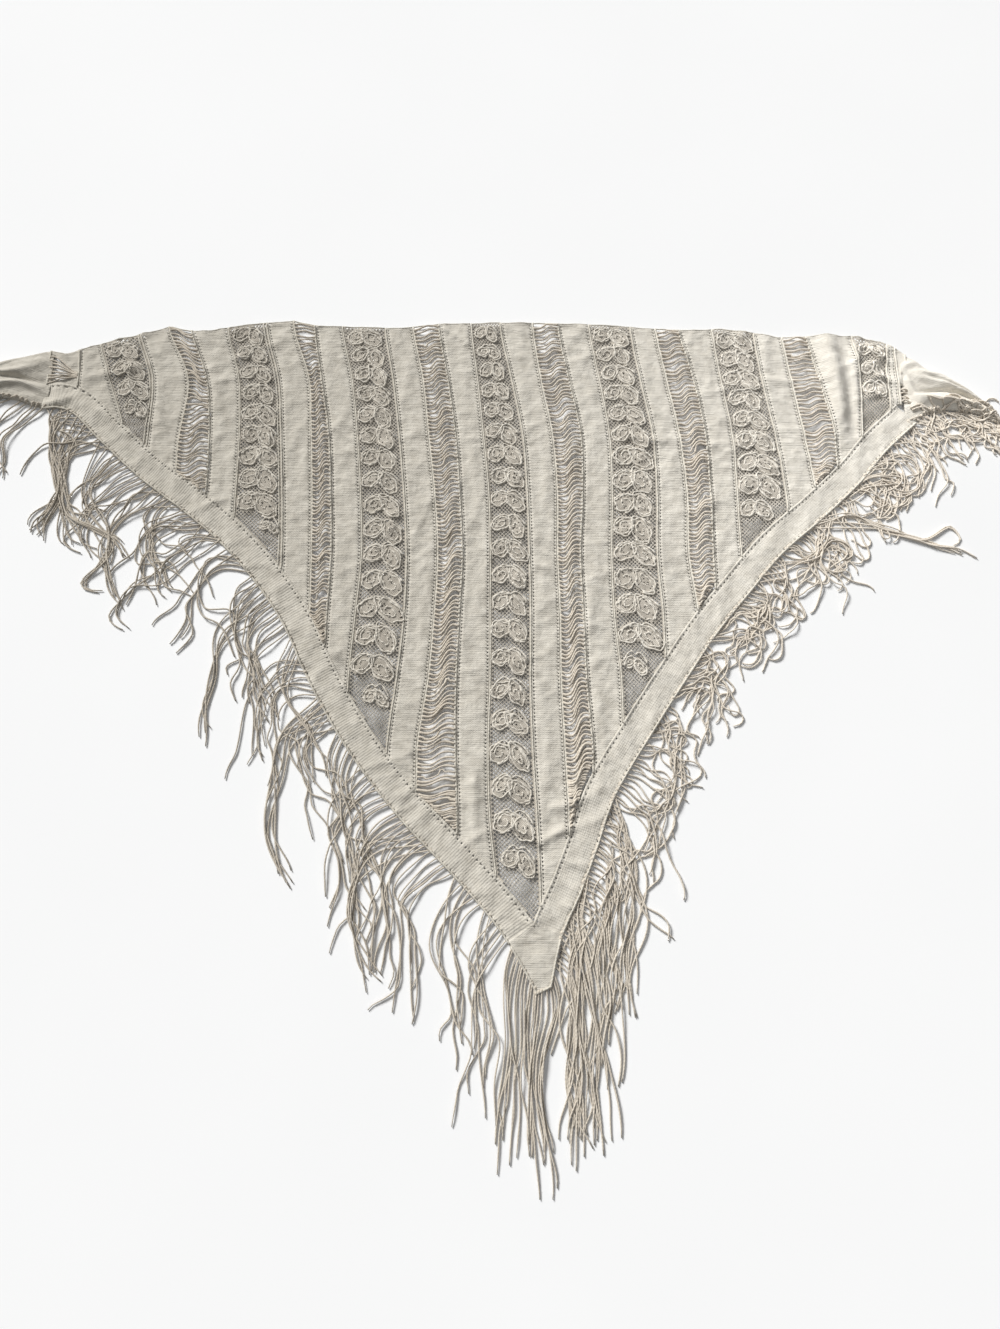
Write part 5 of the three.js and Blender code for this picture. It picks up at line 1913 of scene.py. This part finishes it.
def hang_fringe(cut: Cut, finishes: Finishes, tails: Sequence[Tail]) -> dict[str, Piece]:
    """Build the five fringes along the border, the tip and the tails.

    Args:
        cut: The shawl's lines.
        finishes: The materials.
        tails: The left and the right tail.

    Returns:
        The pieces by the name of what they hang on.
    """
    tip_line = np.vstack([cut.left[cut.left_foot :], cut.right[: cut.right_foot + 1]])
    tail_lines = {
        tail.name: smooth_line([(row[0], mix(row[1], row[2], up)) for row in tail.rows], 4.0)
        for tail, up in zip(tails, TAIL_ROOTS)
    }
    inset = {"left": cut.left[: cut.left_foot], "right": cut.right[cut.right_foot :], "tip": tip_line}
    lines = {name: line + left_of(line) * ROOT_INSET for name, line in inset.items()} | tail_lines
    under = {tail.name: tail.height for tail in tails}
    built = {}
    for name, falls, pitch, seed, more in (
        ("tail_left", LEFT_TAIL_FALLS, 7.5, 11, {}),
        ("left", LEFT_FALLS, 7.9, 21, {"locks": LEFT_LOCKS, "bare": ((0.0, 0.13),)}),
        ("tip", TIP_FALLS, 4.9, 31, {}),
        ("right", RIGHT_FALLS, 5.4, 41, {"locks": RIGHT_LOCKS}),
        ("tail_right", RIGHT_TAIL_FALLS, 1.9, 51, {"root_depth": 40}),
    ):
        fringe = Fringe(
            f"fringe_{name}", lines[name], finishes, falls, pitch, seed, under=under.get(name), **more
        )
        built[name] = fringe.build()
    return built


# The studio


@dataclass(frozen=True)
class Studio:
    """A pale floor, soft light from the neck side, and the camera over the shawl."""

    aim: tuple[float, float, float] = (0.051, 0.052, 0.0)
    distance: float = 1.08
    elevation: float = 76.0
    focal_px: float = 900.0
    image_height: int = 1329
    sensor: float = 36.0
    floor_half: float = 3.0

    def camera(self) -> None:
        """A camera at the photograph's angle: the aim plus the distance along the view's slope."""
        data = bpy.data.cameras.new("camera")
        data.sensor_width = self.sensor
        data.lens = self.focal_px / self.image_height * self.sensor
        data.clip_start, data.clip_end = 0.05, 30
        camera = bpy.data.objects.new("camera", data)
        tilt = math.radians(self.elevation)
        back, up = self.distance * math.cos(tilt), self.distance * math.sin(tilt)
        camera.location = Vector(self.aim) + Vector((0, -back, up))
        camera.rotation_euler = (math.pi / 2 - tilt, 0, 0)
        bpy.context.scene.collection.objects.link(camera)
        bpy.context.scene.camera = camera

    def lamp(
        self, name: str, place: Sequence[float], spread: float, power: float, tint: Sequence[float]
    ) -> None:
        """A far soft light that shines from a place towards the shawl's middle.

        Args:
            name: The light's name.
            place: Where it shines from, in metres.
            spread: Its width as seen from the shawl, in degrees.
            power: Its strength.
            tint: Its colour.
        """
        data = bpy.data.lights.new(name, "SUN")
        data.angle, data.energy, data.color = math.radians(spread), power, tint
        lamp = bpy.data.objects.new(name, data)
        lamp.location = place
        lamp.rotation_euler = (-Vector(place)).to_track_quat("-Z", "Y").to_euler()
        bpy.context.scene.collection.objects.link(lamp)

    def floor(self) -> None:
        """A plain pale floor."""
        half = self.floor_half
        mesh = bpy.data.meshes.new("floor")
        corners = [(-half, -half, 0), (half, -half, 0), (half, half, 0), (-half, half, 0)]
        mesh.from_pydata(corners, [], [(0, 1, 2, 3)])
        graph = Graph("floor")
        colour = graph.mix_colour(graph.noise(3.0), linear(238, 239, 240), linear(242, 243, 244))
        sockets = {"Base Color": colour, "Roughness": 0.9, "Specular IOR Level": 0.1}
        mesh.materials.append(graph.finish(graph.node("ShaderNodeBsdfPrincipled", {}, sockets)))
        floor = bpy.data.objects.new("floor", mesh)
        bpy.context.scene.collection.objects.link(floor)

    def build(self) -> None:
        """Set camera, floor, sky and lights."""
        self.camera()
        self.floor()
        world = bpy.data.worlds.new("studio")
        world.use_nodes = True
        world.node_tree.nodes["Background"].inputs[0].default_value = (1.0, 1.0, 1.0, 1.0)
        world.node_tree.nodes["Background"].inputs[1].default_value = 0.2
        bpy.context.scene.world = world
        bpy.context.scene.view_settings.view_transform = "Standard"
        self.lamp("key", (-1.25, 1.55, 1.2), 20, 4.9, (1.0, 0.99, 0.975))
        self.lamp("fill", (1.4, -1.0, 1.9), 30, 0.3, (0.97, 0.985, 1.0))


# Each tail's rows, its folds as place, width and depth in shares of the side and the rise, and its
# ridges.
TAILS = (
    (
        "tail_left",
        LEFT_TAIL,
        ((0.14, 0.07, 0.3), (0.34, 0.06, 0.4), (0.5, 0.05, -0.3), (0.66, 0.09, 0.4), (0.86, 0.06, 0.3)),
        (Crease(-622, 356, -590, 346, 3.0, 5, 3), Crease(-626, 404, -592, 414, 2.5, 5, -3)),
    ),
    (
        "tail_right",
        RIGHT_TAIL,
        (
            (0.12, 0.07, 0.25), (0.3, 0.06, 0.4), (0.46, 0.05, -0.35), (0.66, 0.1, 0.45),
            (0.82, 0.05, -0.3), (0.93, 0.06, 0.3),
        ),
        (
            Crease(516, 392, 548, 404, 8.0, 7, 3),
            Crease(526, 388, 546, 344, 4.5, 5, -5),
            Crease(538, 390, 622, 356, 4.0, 5, 4),
        ),
    ),
)


def main() -> None:
    """Build the shawl piece by piece."""
    logging.basicConfig(level=logging.INFO, format="%(name)s: %(message)s", stream=sys.stdout)
    Studio().build()
    cut, finishes = Cut(), Finishes()
    tails = [Tail(name, rows, finishes, folds, ridges) for name, rows, folds, ridges in TAILS]
    fringes = hang_fringe(cut, finishes, tails)
    for left, right in zip(cut.seams, cut.seams[1:]):
        band = BAND_CLASSES[Kind(left.band.split("_")[0])]
        band(left.band, left, right, cut, finishes).build()
    border = Border(cut, finishes)
    border.side("border_left", cut.left[: cut.left_foot + 1], fringes["left"])
    border.side("border_right", cut.right[cut.right_foot :], fringes["right"])
    border.tip(fringes["tip"])
    for tail in tails:
        tail.build(fringes[tail.name])


if __name__ == "__main__":
    main()
